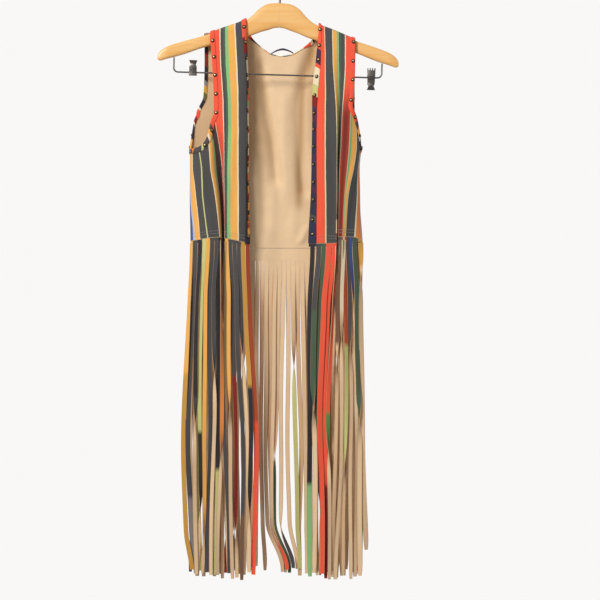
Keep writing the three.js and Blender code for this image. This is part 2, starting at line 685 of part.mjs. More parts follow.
// Bands: the column beside the front edge, the cells round each armhole and the row under the neck.
const onFrontEdge = (u) => u < bandAt;
const roundArmhole = (edge) => (u, row) => Math.abs(u) > edge - bindingWidth && row >= rowCounts.lower;
const underNeck = (u, row) => Math.abs(u) < strapInner && row >= rowCounts.lower + rowCounts.strap;
const onSide = (keep, direction) => (u, row) => u * direction > 0 && keep(u, row);

const rightFrontEdge = frontEdge(frontRight, hemRight[0][1]);
const leftFrontEdge = frontEdge(frontLeft, hemLeft[0][1]);
const studSpots = {
  frontRight: [14, 46, 79, 112, 145, 178, 211, 243, 276, 308, 339, 368, 396],
  frontLeft: [17, 43, 80, 112, 144, 177, 208, 238, 270, 304, 335, 361, 390],
  armRightFront: [17, 51, 86, 121, 155, 189, 222, 252],
  armLeftFront: [8, 34, 71, 104, 141, 175, 209],
  armRightBack: [9, 34, 66, 101, 136, 164, 196],
  armLeftBack: [9, 38, 70, 104, 138, 170, 200],
};
const strapEdges = { right: armholeRight[0][0], left: armholeLeft[0][0] };

const bindings = [
  ['binding_front_right', pieces.right, onFrontEdge, rightFrontEdge, -1, studSpots.frontRight],
  ['binding_front_left', pieces.left, onFrontEdge, leftFrontEdge, -1, studSpots.frontLeft],
  ['binding_armhole_right_front', pieces.right, roundArmhole(strapEdges.right),
    armEdge(frontRight, armholeRight, 1), 1, studSpots.armRightFront],
  ['binding_armhole_left_front', pieces.left, roundArmhole(strapEdges.left),
    armEdge(frontLeft, armholeLeft, 1), 1, studSpots.armLeftFront],
  ['binding_armhole_right_back', pieces.back, onSide(roundArmhole(strapOuter), -1),
    armEdge(back, armholeBack, -1), -1, studSpots.armRightBack],
  ['binding_armhole_left_back', pieces.back, onSide(roundArmhole(strapOuter), 1),
    armEdge(back, armholeBack, 1), 1, studSpots.armLeftBack],
];
bindings.forEach(([name, ...band]) => add(vest, name, studdedBand(...band), colors.binding));
add(vest, 'binding_neck', bandWall(pieces.back, underNeck), colors.binding);

const labelTop = (u) => -160.6 - 10.5 * Math.abs((u - 1) / 25) ** 1.8;
const loopTop = (u) => -157.2 - 12 * Math.abs((u - 1) / 24) ** 1.7;
const across = (from, to, count) => [from, ...rowsBetween(from, to, count)];
const loopWidth = 4.4;
add(vest, 'neck_label',
  standingPatch(across(-23, 19, 6), (u) => [patchFoot, labelTop(u)], 1.8, 2.6), colors.label);
add(vest, 'neck_loop',
  standingPatch(across(-22, 20, 8), (u) => [loopTop(u) - loopWidth, loopTop(u)], 2.9, 4.1), colors.navy);

add(vest, 'fringe_front_right', fringeGeometry({
  panel: frontRight, across: pieces.right.across, hem: hemRight, header: fringe.frontHeader,
  lanes: [[0, -55], [1, -169]], lowLanes: [[0, -44], [1, -181]],
  layers: [-18, -27, -9], fold: { from: 56, to: 90, middle: -107, spread: -8 }, salt: 3,
  drift: (share, z) => 4 * Math.sin(share * 9 + z / 160) * ease((-z - 560) / 300)
    + 9 * ease((share - 0.86) / 0.1) * ease((-z - 1040) / 80),
}), colors.print);
add(vest, 'fringe_front_left', fringeGeometry({
  panel: frontLeft, across: pieces.left.across, hem: hemLeft, header: fringe.frontHeader,
  lanes: [[0, 49], [0.42, 95], [0.5, 103], [1, 149]], lowLanes: [[0, 46], [0.42, 89], [0.5, 98], [1, 152]],
  layers: [-18, -27, -9], fold: { from: 50, to: 92, middle: 104, spread: 8 }, salt: 11,
  drift: (share, z) => 4 * Math.sin(share * 7 + 1 + z / 170) * ease((-z - 560) / 300),
}), colors.print);
// The tips of a few strands in the middle of the back are swept to the wearer's left.
const sweptTips = [
  [0, 0], [0.39, 0], [0.42, 26], [0.511, 26], [0.534, 14], [0.557, 5.5], [0.6, 2], [0.7, 0], [1, 0]];
add(vest, 'fringe_back', fringeGeometry({
  panel: back, across: pieces.back.across, hem: hemBack, header: fringe.backHeader,
  lanes: [[0, -166], [0.323, -62], [0.5, 0], [0.588, 33], [0.677, 66], [1, 150]],
  lowLanes: [[0, -170], [0.4, -36], [0.42, -27], [0.511, -3], [0.534, 13], [0.557, 27], [1, 151]],   // parted
  layers: [7, 17], salt: 23,
  drift: (share, z) => curve(sweptTips)(share) * ease((-z - 1030) / 85),
}), colors.suede);

const hangerGroup = new THREE.Group();
hangerGroup.rotation.y = tilt;
vest.add(hangerGroup);
add(hangerGroup, 'hanger_wood_right', woodHalf(-1), colors.wood);
add(hangerGroup, 'hanger_wood_left', woodHalf(1), colors.wood);
add(hangerGroup, 'hook', hookGeometry(), colors.steel);
add(hangerGroup, 'clip_bar', barGeometry(), colors.steel);
const barLevel = -hanger.crownToWood - bar.below;
const standing = add(hangerGroup, 'clip_right', clipGeometry(clip.standingHandle), colors.steel);
standing.position.set(-155, armForward(bar.halfSpan), barLevel);
standing.rotation.x = THREE.MathUtils.degToRad(172);
const hanging = add(hangerGroup, 'clip_left', clipGeometry(clip.hangingHandle), colors.steel);
hanging.position.set(171, armForward(bar.halfSpan), barLevel);
hanging.rotation.x = THREE.MathUtils.degToRad(-6);

export default vest;
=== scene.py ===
import math

import bpy
import numpy as np
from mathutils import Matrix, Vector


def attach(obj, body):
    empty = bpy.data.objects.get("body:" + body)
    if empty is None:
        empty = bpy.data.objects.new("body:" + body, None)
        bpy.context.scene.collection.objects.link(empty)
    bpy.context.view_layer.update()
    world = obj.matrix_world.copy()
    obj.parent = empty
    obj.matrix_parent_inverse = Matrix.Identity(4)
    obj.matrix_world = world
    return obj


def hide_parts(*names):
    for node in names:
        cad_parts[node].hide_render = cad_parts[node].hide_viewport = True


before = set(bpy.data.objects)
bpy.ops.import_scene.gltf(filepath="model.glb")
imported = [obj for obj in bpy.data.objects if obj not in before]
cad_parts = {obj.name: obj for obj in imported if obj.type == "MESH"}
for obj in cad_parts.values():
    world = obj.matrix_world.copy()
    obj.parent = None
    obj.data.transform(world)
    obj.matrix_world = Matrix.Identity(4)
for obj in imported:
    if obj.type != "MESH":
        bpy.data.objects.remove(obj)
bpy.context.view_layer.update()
print("frame loaded with", len(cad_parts), "nodes")

# Lengths are millimetres until a mesh is made. The front faces -Y and the wearer's right is at -X.
mm = 0.001
wall = 1.2              # thickness of the suede
seamGap = 0.3           # between pieces that meet at a seam
bandWidth = 9           # bias binding along each edge
halfBack = 175          # middle of the back to its side seam, along the cloth
splitHeight = -280.0    # where the armholes become straight
hangerDrop = 78         # crown of the hook down to the wood
tilt = math.radians(1.7)


# Smooth step: 3t^2 - 2t^3 of t held between 0 and 1.
def ease(t):
    t = np.clip(t, 0, 1)
    return t * t * (3 - 2 * t)


# Monotone cubic through a table: Hermite pieces whose inner slopes are weighted harmonic means of the
# slopes beside them, or level where those differ in sign. values has one row for each knot.
def through(knots, values, at, levelStart=False, levelEnd=False):
    knots, values = np.asarray(knots, float), np.asarray(values, float)
    at = np.clip(np.asarray(at, float), knots[0], knots[-1])
    step = np.diff(knots).reshape(-1, *[1] * (values.ndim - 1))
    slope = np.diff(values, axis=0) / step
    tangent = np.zeros_like(values)
    tangent[0] = 0 if levelStart else slope[0]
    tangent[-1] = 0 if levelEnd else slope[-1]
    same = slope[:-1] * slope[1:] > 0
    a, b = 2 * step[1:] + step[:-1], step[1:] + 2 * step[:-1]
    mean = (a + b) / (a / np.where(same, slope[:-1], 1) + b / np.where(same, slope[1:], 1))
    tangent[1:-1] = np.where(same, mean, 0)
    span = np.clip(np.searchsorted(knots, at) - 1, 0, len(knots) - 2)
    cells = () if values.ndim == 1 else tuple(np.indices(at.shape))
    here, after = (span, *cells), (span + 1, *cells)
    h = knots[span + 1] - knots[span]
    s = (at - knots[span]) / h
    return ((2 * s**3 - 3 * s**2 + 1) * values[here] + (s**3 - 2 * s**2 + s) * h * tangent[here]
            + (3 * s**2 - 2 * s**3) * values[after] + (s**3 - s**2) * h * tangent[after])


# A curve through (position, value) pairs.
def curve(rows, at):
    return through([r[0] for r in rows], [r[1] for r in rows], at)


# One number from 0 to 1 for each strand and salt: the fraction of a large multiple of a sine.
def chance(i, salt):
    v = np.sin(i * 12.9898 + salt * 78.233) * 43758.5453
    return v - np.floor(v)


# Vectors brought to length one.
def unitVectors(v):
    return v / np.maximum(np.linalg.norm(v, axis=-1, keepdims=True), 1e-9)


# Distance run along a path of points, from its start.
def runAlong(path):
    return np.concatenate([[0], np.cumsum(np.linalg.norm(np.diff(path, axis=0), axis=1))])


# Distance from the joint, top edge, bottom edge of the wood below its highest point.
woodRows = np.array([
    [0, 0, -45], [8, -0.5, -46], [20, -2, -50], [34, -9, -54.5], [50, -25, -61], [62, -35, -65],
    [100, -50, -75], [136, -64.5, -86], [178, -78, -102], [204, -88, -110], [216, -97, -113.5],
    [220, -104, -111]])
halfSpan = 220


# How far the arm comes forward: 12 mm at its end, by the square of the distance from the joint.
def armForward(span):
    return -12 * (span / halfSpan) ** 2


# Top edge and middle of the tilted arm at a place across the vest.
def armAt(x):
    centre = -hangerDrop * math.sin(tilt)
    span = np.abs(x - centre) / math.cos(tilt)
    top = through(woodRows[:, 0], woodRows[:, 1], span)
    return -hangerDrop + top - (x - centre) * math.sin(tilt), armForward(span)


# Turns hanger points by the tilt round Y: x' = x cos + z sin, z' = z cos - x sin.
def tilted(p):
    c, s = math.cos(tilt), math.sin(tilt)
    return np.stack([p[..., 0] * c + p[..., 2] * s, p[..., 1], p[..., 2] * c - p[..., 0] * s], -1)


# Soft ridge down a line of (place across, height) points: tall * exp(-(distance / width)^2), faded in
# and out over the ends of the line. A trough has a negative height.
def ridge(u, w, line, width, tall, fade=35):
    line = sorted(line, key=lambda p: p[1])
    us, ws = [p[0] for p in line], [p[1] for p in line]
    away = (u - through(ws, us, w)) / width
    return tall * np.exp(-away * away) * ease((w - ws[0]) / fade) * ease((ws[-1] - w) / fade)


heights = [-515, -436, -378, -340, -280, -247, -185, -120]      # rows of the guide lines' tables
# Where the turn over the arm starts below its top, how far it rises past it, its length along the
# cloth, and the height that tells which part of the arm a guide line meets.
shoulder = {"start": 10, "rise": 3.4, "reach": 17, "probe": -150}


# Cloth surface over (u, w): u is millimetres across the cloth, w is the height. Guide lines give x and y
# at the heights; above the arm, w carries on over it as a quarter turn to the shoulder seam.
class Panel:
    def __init__(self, guides, x, y, facing, outward, relief):
        self.guides, self.facing, self.outward, self.relief = guides, facing, outward, relief
        self.x, self.y = np.array(x, float), np.array(y, float)
        self.probe = [float(through(heights, column, shoulder["probe"])) for column in self.x.T]

    # The guide lines' values at a height, joined across the cloth by the monotone cubic.
    def across(self, table, u, height, **level):
        lines = np.stack([through(heights, column, height) for column in table.T])
        return through(self.guides, lines, u, **level)

    def flat(self, u, height):
        x = self.across(self.x, u, height, levelStart=self.facing < 0, levelEnd=True)
        return x, self.across(self.y, u, height)

    # Height where the cloth leaves the upright and begins to turn over the arm.
    def start(self, u):
        x = through(self.guides, self.probe, u, levelStart=self.facing < 0, levelEnd=True)
        return armAt(x)[0] - shoulder["start"]

    # Guide surface before its creases: past the start the depth goes by the cosine of the turn to the
    # seam and the height by its sine.
    def base(self, u, w):
        start = self.start(u)
        x, y = self.flat(u, np.minimum(w, start))
        turn = np.clip((w - start) / shoulder["reach"], 0, 1) * math.pi / 2
        seam = armAt(x)[1] - self.facing * seamGap
        over = w > start
        y = np.where(over, seam + (y - seam) * np.cos(turn), y)
        z = np.where(over, start + (shoulder["start"] + shoulder["rise"]) * np.sin(turn), w)
        return np.stack([x, y, z], -1)

    # Unit normal out of the printed face, from points half a millimetre to each side.
    def normal(self, surface, u, w, d=0.5):
        side = surface(u + d, w) - surface(u - d, w)
        up = surface(u, w + d) - surface(u, w - d)
        return unitVectors(np.cross(side, up) * self.outward)

    # Guide surface moved along its normal by the creases.
    def surface(self, u, w):
        return self.base(u, w) + self.normal(self.base, u, w) * self.relief(u, w)[..., None]

    # Creased surface moved out of its printed face by lift.
    def lifted(self, u, w, lift):
        return self.surface(u, w) + self.normal(self.surface, u, w) * np.asarray(lift, float)[..., None]


# Creases of each panel: ridges and troughs, and a fine ripple where the cloth hangs loose.
def reliefRight(u, w):
    loose = ease((-150 - w) / 120)
    return (ridge(u, w, [(40, -500), (36, -400), (30, -300)], 7, 1.4)
            + ridge(u, w, [(132, -505), (138, -430), (146, -375)], 8, -1.8)
            + ridge(u, w, [(112, -515), (118, -450), (128, -370)], 6, 1.3)
            + ridge(u, w, [(26, -470), (44, -360), (60, -270)], 6, -0.9)
            + loose * 0.35 * np.sin(w / 19 + u / 13))


def reliefLeft(u, w):
    loose = ease((-150 - w) / 120)
    return (ridge(u, w, [(14, -500), (24, -400), (20, -290)], 7, 1.2)
            + ridge(u, w, [(34, -510), (38, -420), (30, -330), (34, -220)], 6, -1.3)
            + ridge(u, w, [(120, -510), (126, -440), (130, -370)], 7, -1.8)
            + ridge(u, w, [(108, -510), (106, -440), (112, -350)], 6, 1.1)
            + loose * 0.35 * np.sin(w / 21 - u / 15))


def reliefBack(u, w):
    loose = ease((-170 - w) / 100)
    return (ridge(u, w, [(-39, -170), (-29, -271), (-17, -331), (-8, -420)], 10, 7.5, 25)
            + ridge(u, w, [(60, -138), (46, -180), (35, -222), (28, -276), (29, -331), (40, -440)],
                    11, 8.5, 20)
            + ridge(u, w, [(-58, -285), (-50, -400), (-45, -522)], 9, -3.0)
            + ridge(u, w, [(-64, -330), (-60, -440), (-56, -600)], 17, -9, 70)
            + ridge(u, w, [(46, -480), (38, -505), (28, -524)], 6, -3.4, 14)
            + ridge(u, w, [(62, -160), (56, -230), (60, -300), (54, -420)], 9, -3.0)
            + ridge(u, w, [(4, -230), (2, -330), (10, -460)], 9, -2.6)
            + ridge(u, w, [(22, -440), (18, -524)], 8, -1.6)
            + ridge(u, w, [(-16, -400), (-20, -524)], 8, -1.4)
            + ridge(u, w, [(-100, -250), (-112, -350), (-104, -480)], 10, 2.2)
            + ridge(u, w, [(96, -260), (108, -370), (98, -490)], 10, 2.0)
            + loose * 0.4 * np.sin(w / 24 + u / 17))


frontRight = Panel(
    guides=[0, 8, 20.5, 51, 70, 98, 123, 140.5, 160], facing=1, outward=-1, relief=reliefRight,
    x=[[-57, -64.5, -77, -102, -104.5, -109.5, -131, -146.5, -165.5],
       [-59, -63.5, -77, -102.5, -106, -118, -141, -155.5, -166.5],
       [-59.5, -63.5, -77.5, -103, -108.5, -127.5, -144, -161, -167.5],
       [-59.5, -63.5, -77.5, -103, -113, -130, -150, -162, -167],
       [-59.5, -64, -77.5, -104, -121.5, -142, -156.5, -164, -166],
       [-59.8, -64.3, -78, -105, -122, -142, -156.5, -164, -166],
       [-61.5, -66.5, -80.5, -109, -125, -142, -156.5, -164, -166],
       [-64, -71.5, -84, -110.5, -131.5, -143.5, -156.5, -164, -166]],
    y=[[-17, -23, -26, -25, -8, -33, -35, -29, -13],
       [-15, -22, -25, -25, -8, -30, -32, -24, -7],
       [-14, -21, -25, -25, -8, -27, -28, -18, -2],
       [-13, -20, -24, -25, -10, -26, -24, -14, 1],
       [-13, -19, -22, -23, -19, -21, -18, -11, -1],
       [-13.2, -19.4, -21.5, -22, -20, -20, -16, -9, -1],
       [-12, -18, -19, -19, -19, -18, -14, -8, -1],
       [-12, -13, -13.5, -14.5, -15, -15, -12, -7, -1]])

frontLeft = Panel(
    guides=[0, 7, 23.5, 44, 60, 76, 97, 112, 134, 148], facing=1, outward=1, relief=reliefLeft,
    x=[[50, 62, 80.5, 101, 102.2, 104, 112, 117, 132, 148.5],
       [54.5, 63, 80, 101.5, 103.2, 105.5, 115.5, 122, 138, 144.5],
       [56.5, 63, 79.5, 101.5, 104.3, 107.5, 121.5, 133, 141.5, 144],
       [57, 63, 79.5, 101.5, 105.2, 109, 125, 138, 145, 147],
       [57.5, 63.5, 79.5, 100.5, 106.2, 112, 127.5, 138, 145, 147.5],
       [57.5, 65.5, 80, 98.5, 106.5, 114.5, 132.5, 140, 145.5, 147.5],
       [64, 71, 80, 94.5, 106, 118, 134.5, 141, 145.5, 147.5],
       [70.5, 73, 78.5, 93.5, 105.5, 118, 135.5, 142, 145.5, 147.5]],
    y=[[-15, -21, -25, -25, -9, -24, -35, -33, -26, -13],
       [-9, -20, -25, -25, -10, -23, -33, -31, -18, -4],
       [-9, -19, -24, -24, -10, -22, -28, -25, -8, 4],
       [-9, -19, -23, -24, -11, -22, -25, -20, -5, 6],
       [-10, -18, -22, -23, -14, -21, -23, -17, -7, 2],
       [-11, -18, -21, -22, -16, -21, -21, -16, -8, 0],
       [-12.5, -16.5, -18.5, -19.5, -17, -19, -19, -15, -8, -1],
       [-12, -13.5, -14.5, -15, -14.5, -15, -16, -13, -7, -1]])

# The back takes its side seams from the two fronts and swells out under the wearer's right arm.
backX = np.tile([-148, -104, -61.5, -30, 1.5, 34, 67, 104, 131], (len(heights), 1))
armSwell = np.array([0, 0, 4, 11, 13, 2, 0, 0])
backX = backX - armSwell[:, None] * [1, 0.5, 0, 0, 0, 0, 0, 0, 0]
backDepth = np.array([
    [9, 17, 18, 15, 20, 17, 14, 19, 12], [11, 18, 17, 20, 21, 19, 15, 19, 14],
    [13, 19, 17, 20, 20, 17, 18, 19, 16], [13, 19, 17, 19, 20, 17, 18, 19, 16],
    [11, 17, 18, 19, 20, 18, 17, 18, 14], [11, 16, 18, 20, 20, 19, 17, 17, 13],
    [11, 14, 16, 20, 21, 20, 16, 14, 11], [9, 11, 13, 17, 18, 17, 13, 11, 9]])
backPanel = Panel(
    guides=[-175, -149, -104, -62, -31, 0, 31, 62, 104, 134, 175], facing=-1, outward=-1, relief=reliefBack,
    x=np.column_stack([frontRight.x[:, -1], backX, frontLeft.x[:, -1]]),
    y=np.column_stack([frontRight.y[:, -1] + seamGap, backDepth, frontLeft.y[:, -1] + seamGap]))

# Edges cut into the cloth: place across, height.
armholeRight = [(70, -280), (78, -294.5), (87, -309), (100, -325.5), (113, -338.5), (125, -344.5),
                (140, -346.5), (160, -346)]
armholeLeft = [(97, -265), (104, -277), (112, -290), (121, -309), (130, -326), (139, -340), (148, -346)]
armholeBack = [(140, -280), (146, -291), (152, -304), (158, -318), (164, -331), (170, -341), (175, -346)]
neck = [(0, -172.5), (18, -169.5), (31, -161.5), (43, -152), (54, -140.5), (60, -130.5), (66, -119)]
hemRight = [(0, -520), (20.5, -515), (51, -510), (98, -508.5), (160, -515)]
hemLeft = [(0, -519.5), (44, -519), (60, -514), (76, -508), (134, -508), (148, -515)]
hemBack = [(-175, -515), (-140, -522), (-60, -527.5), (60, -527.5), (134, -522), (175, -515)]
print("surfaces set out")

# Paints as they look in even light, 0 to 255.
paints = {
    "red": (250, 92, 62), "rust": (190, 82, 45), "darkRed": (140, 30, 22), "orange": (240, 140, 62),
    "amber": (250, 182, 88), "ochre": (214, 158, 70), "cream": (244, 230, 192), "lime": (208, 208, 132),
    "leaf": (146, 200, 132), "green": (78, 98, 74), "grass": (92, 142, 74), "olive": (112, 102, 62),
    "charcoal": (78, 76, 76), "black": (46, 42, 46), "navy": (48, 48, 70), "blue": (66, 86, 152),
    "paleBlue": (186, 198, 218), "grey": (140, 134, 134), "mauve": (142, 116, 112), "brown": (122, 88, 64),
    "purple": (74, 46, 72), "tan": (243, 210, 168), "shadeTan": (200, 158, 114),
    # The first paint on the next line is painted shade for the tan in the back's folds.
    "foldShadeTan": (186, 146, 100), "pink": (226, 170, 178)}
lightLevel = 1.12       # what a face square to the view gathers, against which the paints are mixed


# Linear colour of a paint: each channel by the display curve, ((c + 0.055) / 1.055)^2.4.
def colour(name, strength=1.0):
    c = np.array(paints[name] if isinstance(name, str) else name, float) / 255
    c = np.where(c < 0.04045, c / 12.92, ((c + 0.055) / 1.055) ** 2.4) * strength / lightLevel
    return (*np.clip(c, 0, 0.92).tolist(), 1.0)


# A shader socket on which sums can be written as on a number.
class Wire:
    def __init__(self, tree, socket):
        self.tree, self.socket = tree, socket

    def maths(self, operation, first, second=0.0):
        return self.tree.node("ShaderNodeMath", {"operation": operation}, {0: first, 1: second})

    def __add__(self, other):
        return self.maths("ADD", self, other)

    def __sub__(self, other):
        return self.maths("SUBTRACT", self, other)

    def __rsub__(self, other):
        return self.maths("SUBTRACT", other, self)

    def __mul__(self, other):
        return self.maths("MULTIPLY", self, other)

    def __truediv__(self, other):
        return self.maths("DIVIDE", self, other)

    def __rtruediv__(self, other):
        return self.maths("DIVIDE", other, self)

    def __lt__(self, other):
        return self.maths("LESS_THAN", self, other)

    def __gt__(self, other):
        return self.maths("GREATER_THAN", self, other)

    __radd__, __rmul__ = __add__, __mul__


# Node tree that makes any node from its type, settings and what feeds it.
class Tree:
    def __init__(self, tree):
        self.tree = tree

    def feed(self, socket, value):
        if isinstance(value, Wire):
            self.tree.links.new(value.socket, socket)
        else:
            socket.default_value = value

    def node(self, kind, settings=None, inputs=None, output=0):
        made = self.tree.nodes.new(kind)
        for key, value in (settings or {}).items():
            setattr(made, key, value)
        for key, value in (inputs or {}).items():
            self.feed(made.inputs[key], value)
        return Wire(self, made.outputs[output])

    def attribute(self, name, output="Fac"):
        return self.node("ShaderNodeAttribute", {"attribute_name": name}, output=output)

    def objectPlace(self):
        return self.node("ShaderNodeTexCoord", output="Object")

    def noise(self, scale, detail=2.0, place=None):
        return self.node("ShaderNodeTexNoise", {}, {
            "Vector": place or self.objectPlace(), "Scale": scale, "Detail": detail})

    # Object place with each axis multiplied by its own number.
    def stretched(self, x, y, z):
        return self.node("ShaderNodeVectorMath", {"operation": "MULTIPLY"},
                         {0: self.objectPlace(), 1: (x, y, z)})

    def blend(self, amount, first, second, how="MIX"):
        return self.node("ShaderNodeMix", {"data_type": "RGBA", "blend_type": how},
                         {0: amount, 6: first, 7: second}, output=2)

    # Flat steps of colour: each (end, colour) pair runs from the end before it.
    def bands(self, at, pairs, step="CONSTANT"):
        made = self.node("ShaderNodeValToRGB", {}, {0: at})
        ramp = made.socket.node.color_ramp
        ramp.interpolation = step
        starts = [0.0, *[end for end, _ in pairs[:-1]]]
        while len(ramp.elements) < len(pairs):
            ramp.elements.new(1.0)
        for element, place in zip(ramp.elements, starts):
            element.position = place
        for element, (_, paint) in zip(ramp.elements, pairs):
            element.color = paint
        return made

    def bump(self, height, distance, strength=1.0):
        return self.node("ShaderNodeBump", {}, {
            "Strength": strength, "Distance": distance, "Height": height})


# Material whose sockets are fed by a function of its tree, and by constants.
def material(name, build, **constants):
    made = bpy.data.materials.new(name)
    made.use_nodes = True
    tree = Tree(made.node_tree)
    surface = made.node_tree.nodes["Principled BSDF"]
    for key, value in {**build(tree), **{k.replace("_", " "): v for k, v in constants.items()}}.items():
        tree.feed(surface.inputs[key], value)
    return made


# Suede: soft patches darken the paint by a few parts in a hundred, and a fine nap roughens it.
def suede(tree, paint, patchy=0.16):
    patches = tree.noise(45, 3) * 0.6 + tree.noise(260, 3) * 0.4
    tone = (patches - 0.5) * patchy + 1.0
    shade = tree.node("ShaderNodeCombineColor", {}, {0: tone, 1: tone, 2: tone})
    napAndShade = tree.noise(1500, 2)
    return {
        "Base Color": tree.blend(1.0, paint, shade, "MULTIPLY"),
        "Roughness": patches * 0.15 + 0.8,
        "Normal": tree.bump(napAndShade, 0.0004, 0.5)}


hemCut = 1.1            # height of the pale edge
edgeReach = 4.6         # how far in from an edge its own bands go, where the face has others
slant = 0.7             # of the bands on a binding


# Striped print: bands of paint across the cloth, their borders shifted by less than a millimetre,
# with painted shade darkening the pressed folds, and pale along the cut edge at the hem.
def stripes(pairs, start, end):
    def build(tree):
        wander = (tree.noise(40, 2) - 0.5) * 1.6
        at = (tree.attribute("across") + wander - start) / (end - start)
        paint = tree.bands(at, [((e - start) / (end - start), colour(p)) for e, p in pairs])
        # Painted shade for the pressed folds: the print multiplied down to about a fifth, mixed in by the
        # fold's value.
        shadedPaint = tree.blend(1.0, paint, (0.2, 0.16, 0.16, 1), "MULTIPLY")
        paint = tree.blend(tree.attribute("foldShade"), paint, shadedPaint)
        cut = tree.attribute("rise") < hemCut
        return suede(tree, tree.blend(cut * 0.7, paint, colour("tan")))
    return build


# Bias binding: bands of paint that cross the edge at a slant. With face given, those bands stay within
# edgeReach of the edge and the rest of the strip follows the bands of face.
def biasBands(pairs, face=None):
    total = pairs[-1][0]

    def build(tree):
        at = (tree.attribute("along") + tree.attribute("across") * slant) / total
        paint = tree.bands(at, [(e / total, colour(p)) for e, p in pairs])
        if face:
            flat = tree.bands(at, [(e / total, colour(p)) for e, p in face])
            paint = tree.blend(tree.attribute("across") > edgeReach, paint, flat)
        return suede(tree, paint)
    return build


# Where each stripe ends across its panel, and its paint.
# The first stripe, black along the front edge, is painted shade where the edge turns away.
stripesRight = [
    (8, "black"), (19.5, "charcoal"), (22, "cream"), (34.5, "amber"), (41.5, "leaf"), (46, "green"),
    (51, "charcoal"), (53, "cream"), (68.5, "red"), (70, "cream"), (85, "charcoal"), (89, "leaf"),
    (98, "amber"), (100, "cream"), (122, "charcoal"), (124.5, "lime"), (139.5, "charcoal"),
    (141.5, "cream"), (154, "amber"), (157.5, "paleBlue"), (160, "blue")]
stripesLeft = [
    (7, "navy"), (22, "red"), (23.6, "orange"), (25, "cream"), (43, "charcoal"), (45, "cream"),
    (54, "amber"), (59, "leaf"), (64, "green"), (74, "charcoal"), (76, "cream"), (95, "red"), (97, "cream"),
    (101, "leaf"), (110, "amber"), (112, "cream"), (134, "charcoal"), (136.5, "cream"), (144, "orange"),
    (146, "paleBlue"), (148, "red")]
stripesBack = [
    (-171, "blue"), (-159, "orange"), (-157, "cream"), (-136, "charcoal"), (-134, "cream"), (-124, "amber"),
    (-117, "leaf"), (-106, "green"), (-104, "cream"), (-86, "red"), (-84, "cream"), (-62, "charcoal"),
    (-60, "cream"), (-47, "amber"), (-40, "leaf"), (-30, "green"), (-28, "cream"), (-11, "red"),
    (-9, "cream"), (12, "navy"), (14, "cream"), (27, "orange"), (34, "lime"), (46, "charcoal"),
    (48, "cream"), (66, "red"), (68, "cream"), (90, "charcoal"), (104, "amber"), (112, "leaf"),
    (136, "charcoal"), (175, "orange")]


# Plain suede that goes from tan to a darker paint by an attribute.
def tanSuede(name, attribute, dark):
    def build(tree):
        return suede(tree, tree.blend(tree.attribute(attribute), colour("tan"), colour(dark)), 0.22)
    return material(name, build, Sheen_Weight=0.15)


# The plain side: tan suede with painted shade in the back's folds, mixed in by a value for each point.
inside = tanSuede("suedeInside", "napAndShade", "foldShadeTan")
printRight = material("printRight", stripes(stripesRight, 0, 160), Sheen_Weight=0.1)
printLeft = material("printLeft", stripes(stripesLeft, 0, 148), Sheen_Weight=0.1)
printBack = material("printBack", stripes(stripesBack, -halfBack, halfBack), Sheen_Weight=0.1)
printFringe = material(
    "printFringe", lambda tree: suede(tree, tree.attribute("tint", "Color")), Sheen_Weight=0.1)
insideFringe = tanSuede("insideFringe", "shade", "shadeTan")


# Varnished pale wood: fine grain drawn out along the arm, darker in its lines.
def woodGrain(tree):
    grain = tree.noise(1, 6, tree.stretched(9, 60, 160))
    tone = tree.noise(1, 2, tree.stretched(4, 12, 20))
    paint = tree.bands(grain * 0.6 + tone * 0.4, [
        (0.42, colour((236, 170, 88))), (0.58, colour((247, 186, 104))),
        (1, colour((251, 198, 122)))], "LINEAR")
    return {"Base Color": paint, "Roughness": grain * 0.2 + 0.3, "Normal": tree.bump(grain, 0.0002, 0.3)}


# Dull metal whose colour and roughness vary in small patches.
def dullMetal(tree):
    patches = tree.noise(420, 3)
    paint = tree.blend(patches, colour((92, 88, 84)), colour((140, 136, 130)))
    return {"Base Color": paint, "Roughness": patches * 0.2 + 0.28}


# Antique brass: the rim of each cap is nearly black with patina, and the dome is painted pale as a
# highlight.
def brassPatinaAndHighlight(tree):
    patinaAndHighlight = tree.noise(900, 2) * 0.25 + tree.attribute("across")
    paint = tree.bands(patinaAndHighlight, [(0.5, colour((232, 220, 178))), (0.8, colour((176, 150, 104))),
                              (0.98, colour((82, 62, 44))), (1, colour((52, 40, 32)))], "LINEAR")
    return {"Base Color": paint, "Roughness": tree.noise(700, 2) * 0.25 + 0.25}


wood = material("wood", woodGrain, Coat_Weight=0.25, Coat_Roughness=0.2)
steel = material("steel", dullMetal, Metallic=0.9)
brass = material("brass", brassPatinaAndHighlight, Metallic=0.75)
tape = material("navyTape", lambda tree: suede(tree, colour("navy")))
labelCloth = material("labelCloth", lambda tree: suede(tree, colour((255, 254, 250), 1.06), 0.04))
thread = material("thread", lambda tree: suede(tree, colour((176, 166, 154))))


# Signed volume of closed quads or fans: the sum of a . (b x c) / 6 over their triangles.
def volume(points, faces):
    total = 0.0
    for face in faces:
        a = points[face[:, 0]]
        for k in range(1, face.shape[1] - 1):
            total += np.einsum("ij,ij->", a, np.cross(points[face[:, k]], points[face[:, k + 1]])) / 6
    return total


# Joins points that share a place to 1/500 mm, keeps the first one's values and drops the faces that
# collapse.
def weld(points, faces, values):
    places = np.round(points * 500).astype(np.int64)
    _, first, number = np.unique(places, axis=0, return_index=True, return_inverse=True)
    faces = number.reshape(-1)[faces]
    whole = (np.diff(np.sort(faces, axis=1), axis=1) != 0).all(1)
    return points[first], faces[whole], {k: v[first] for k, v in values.items()}


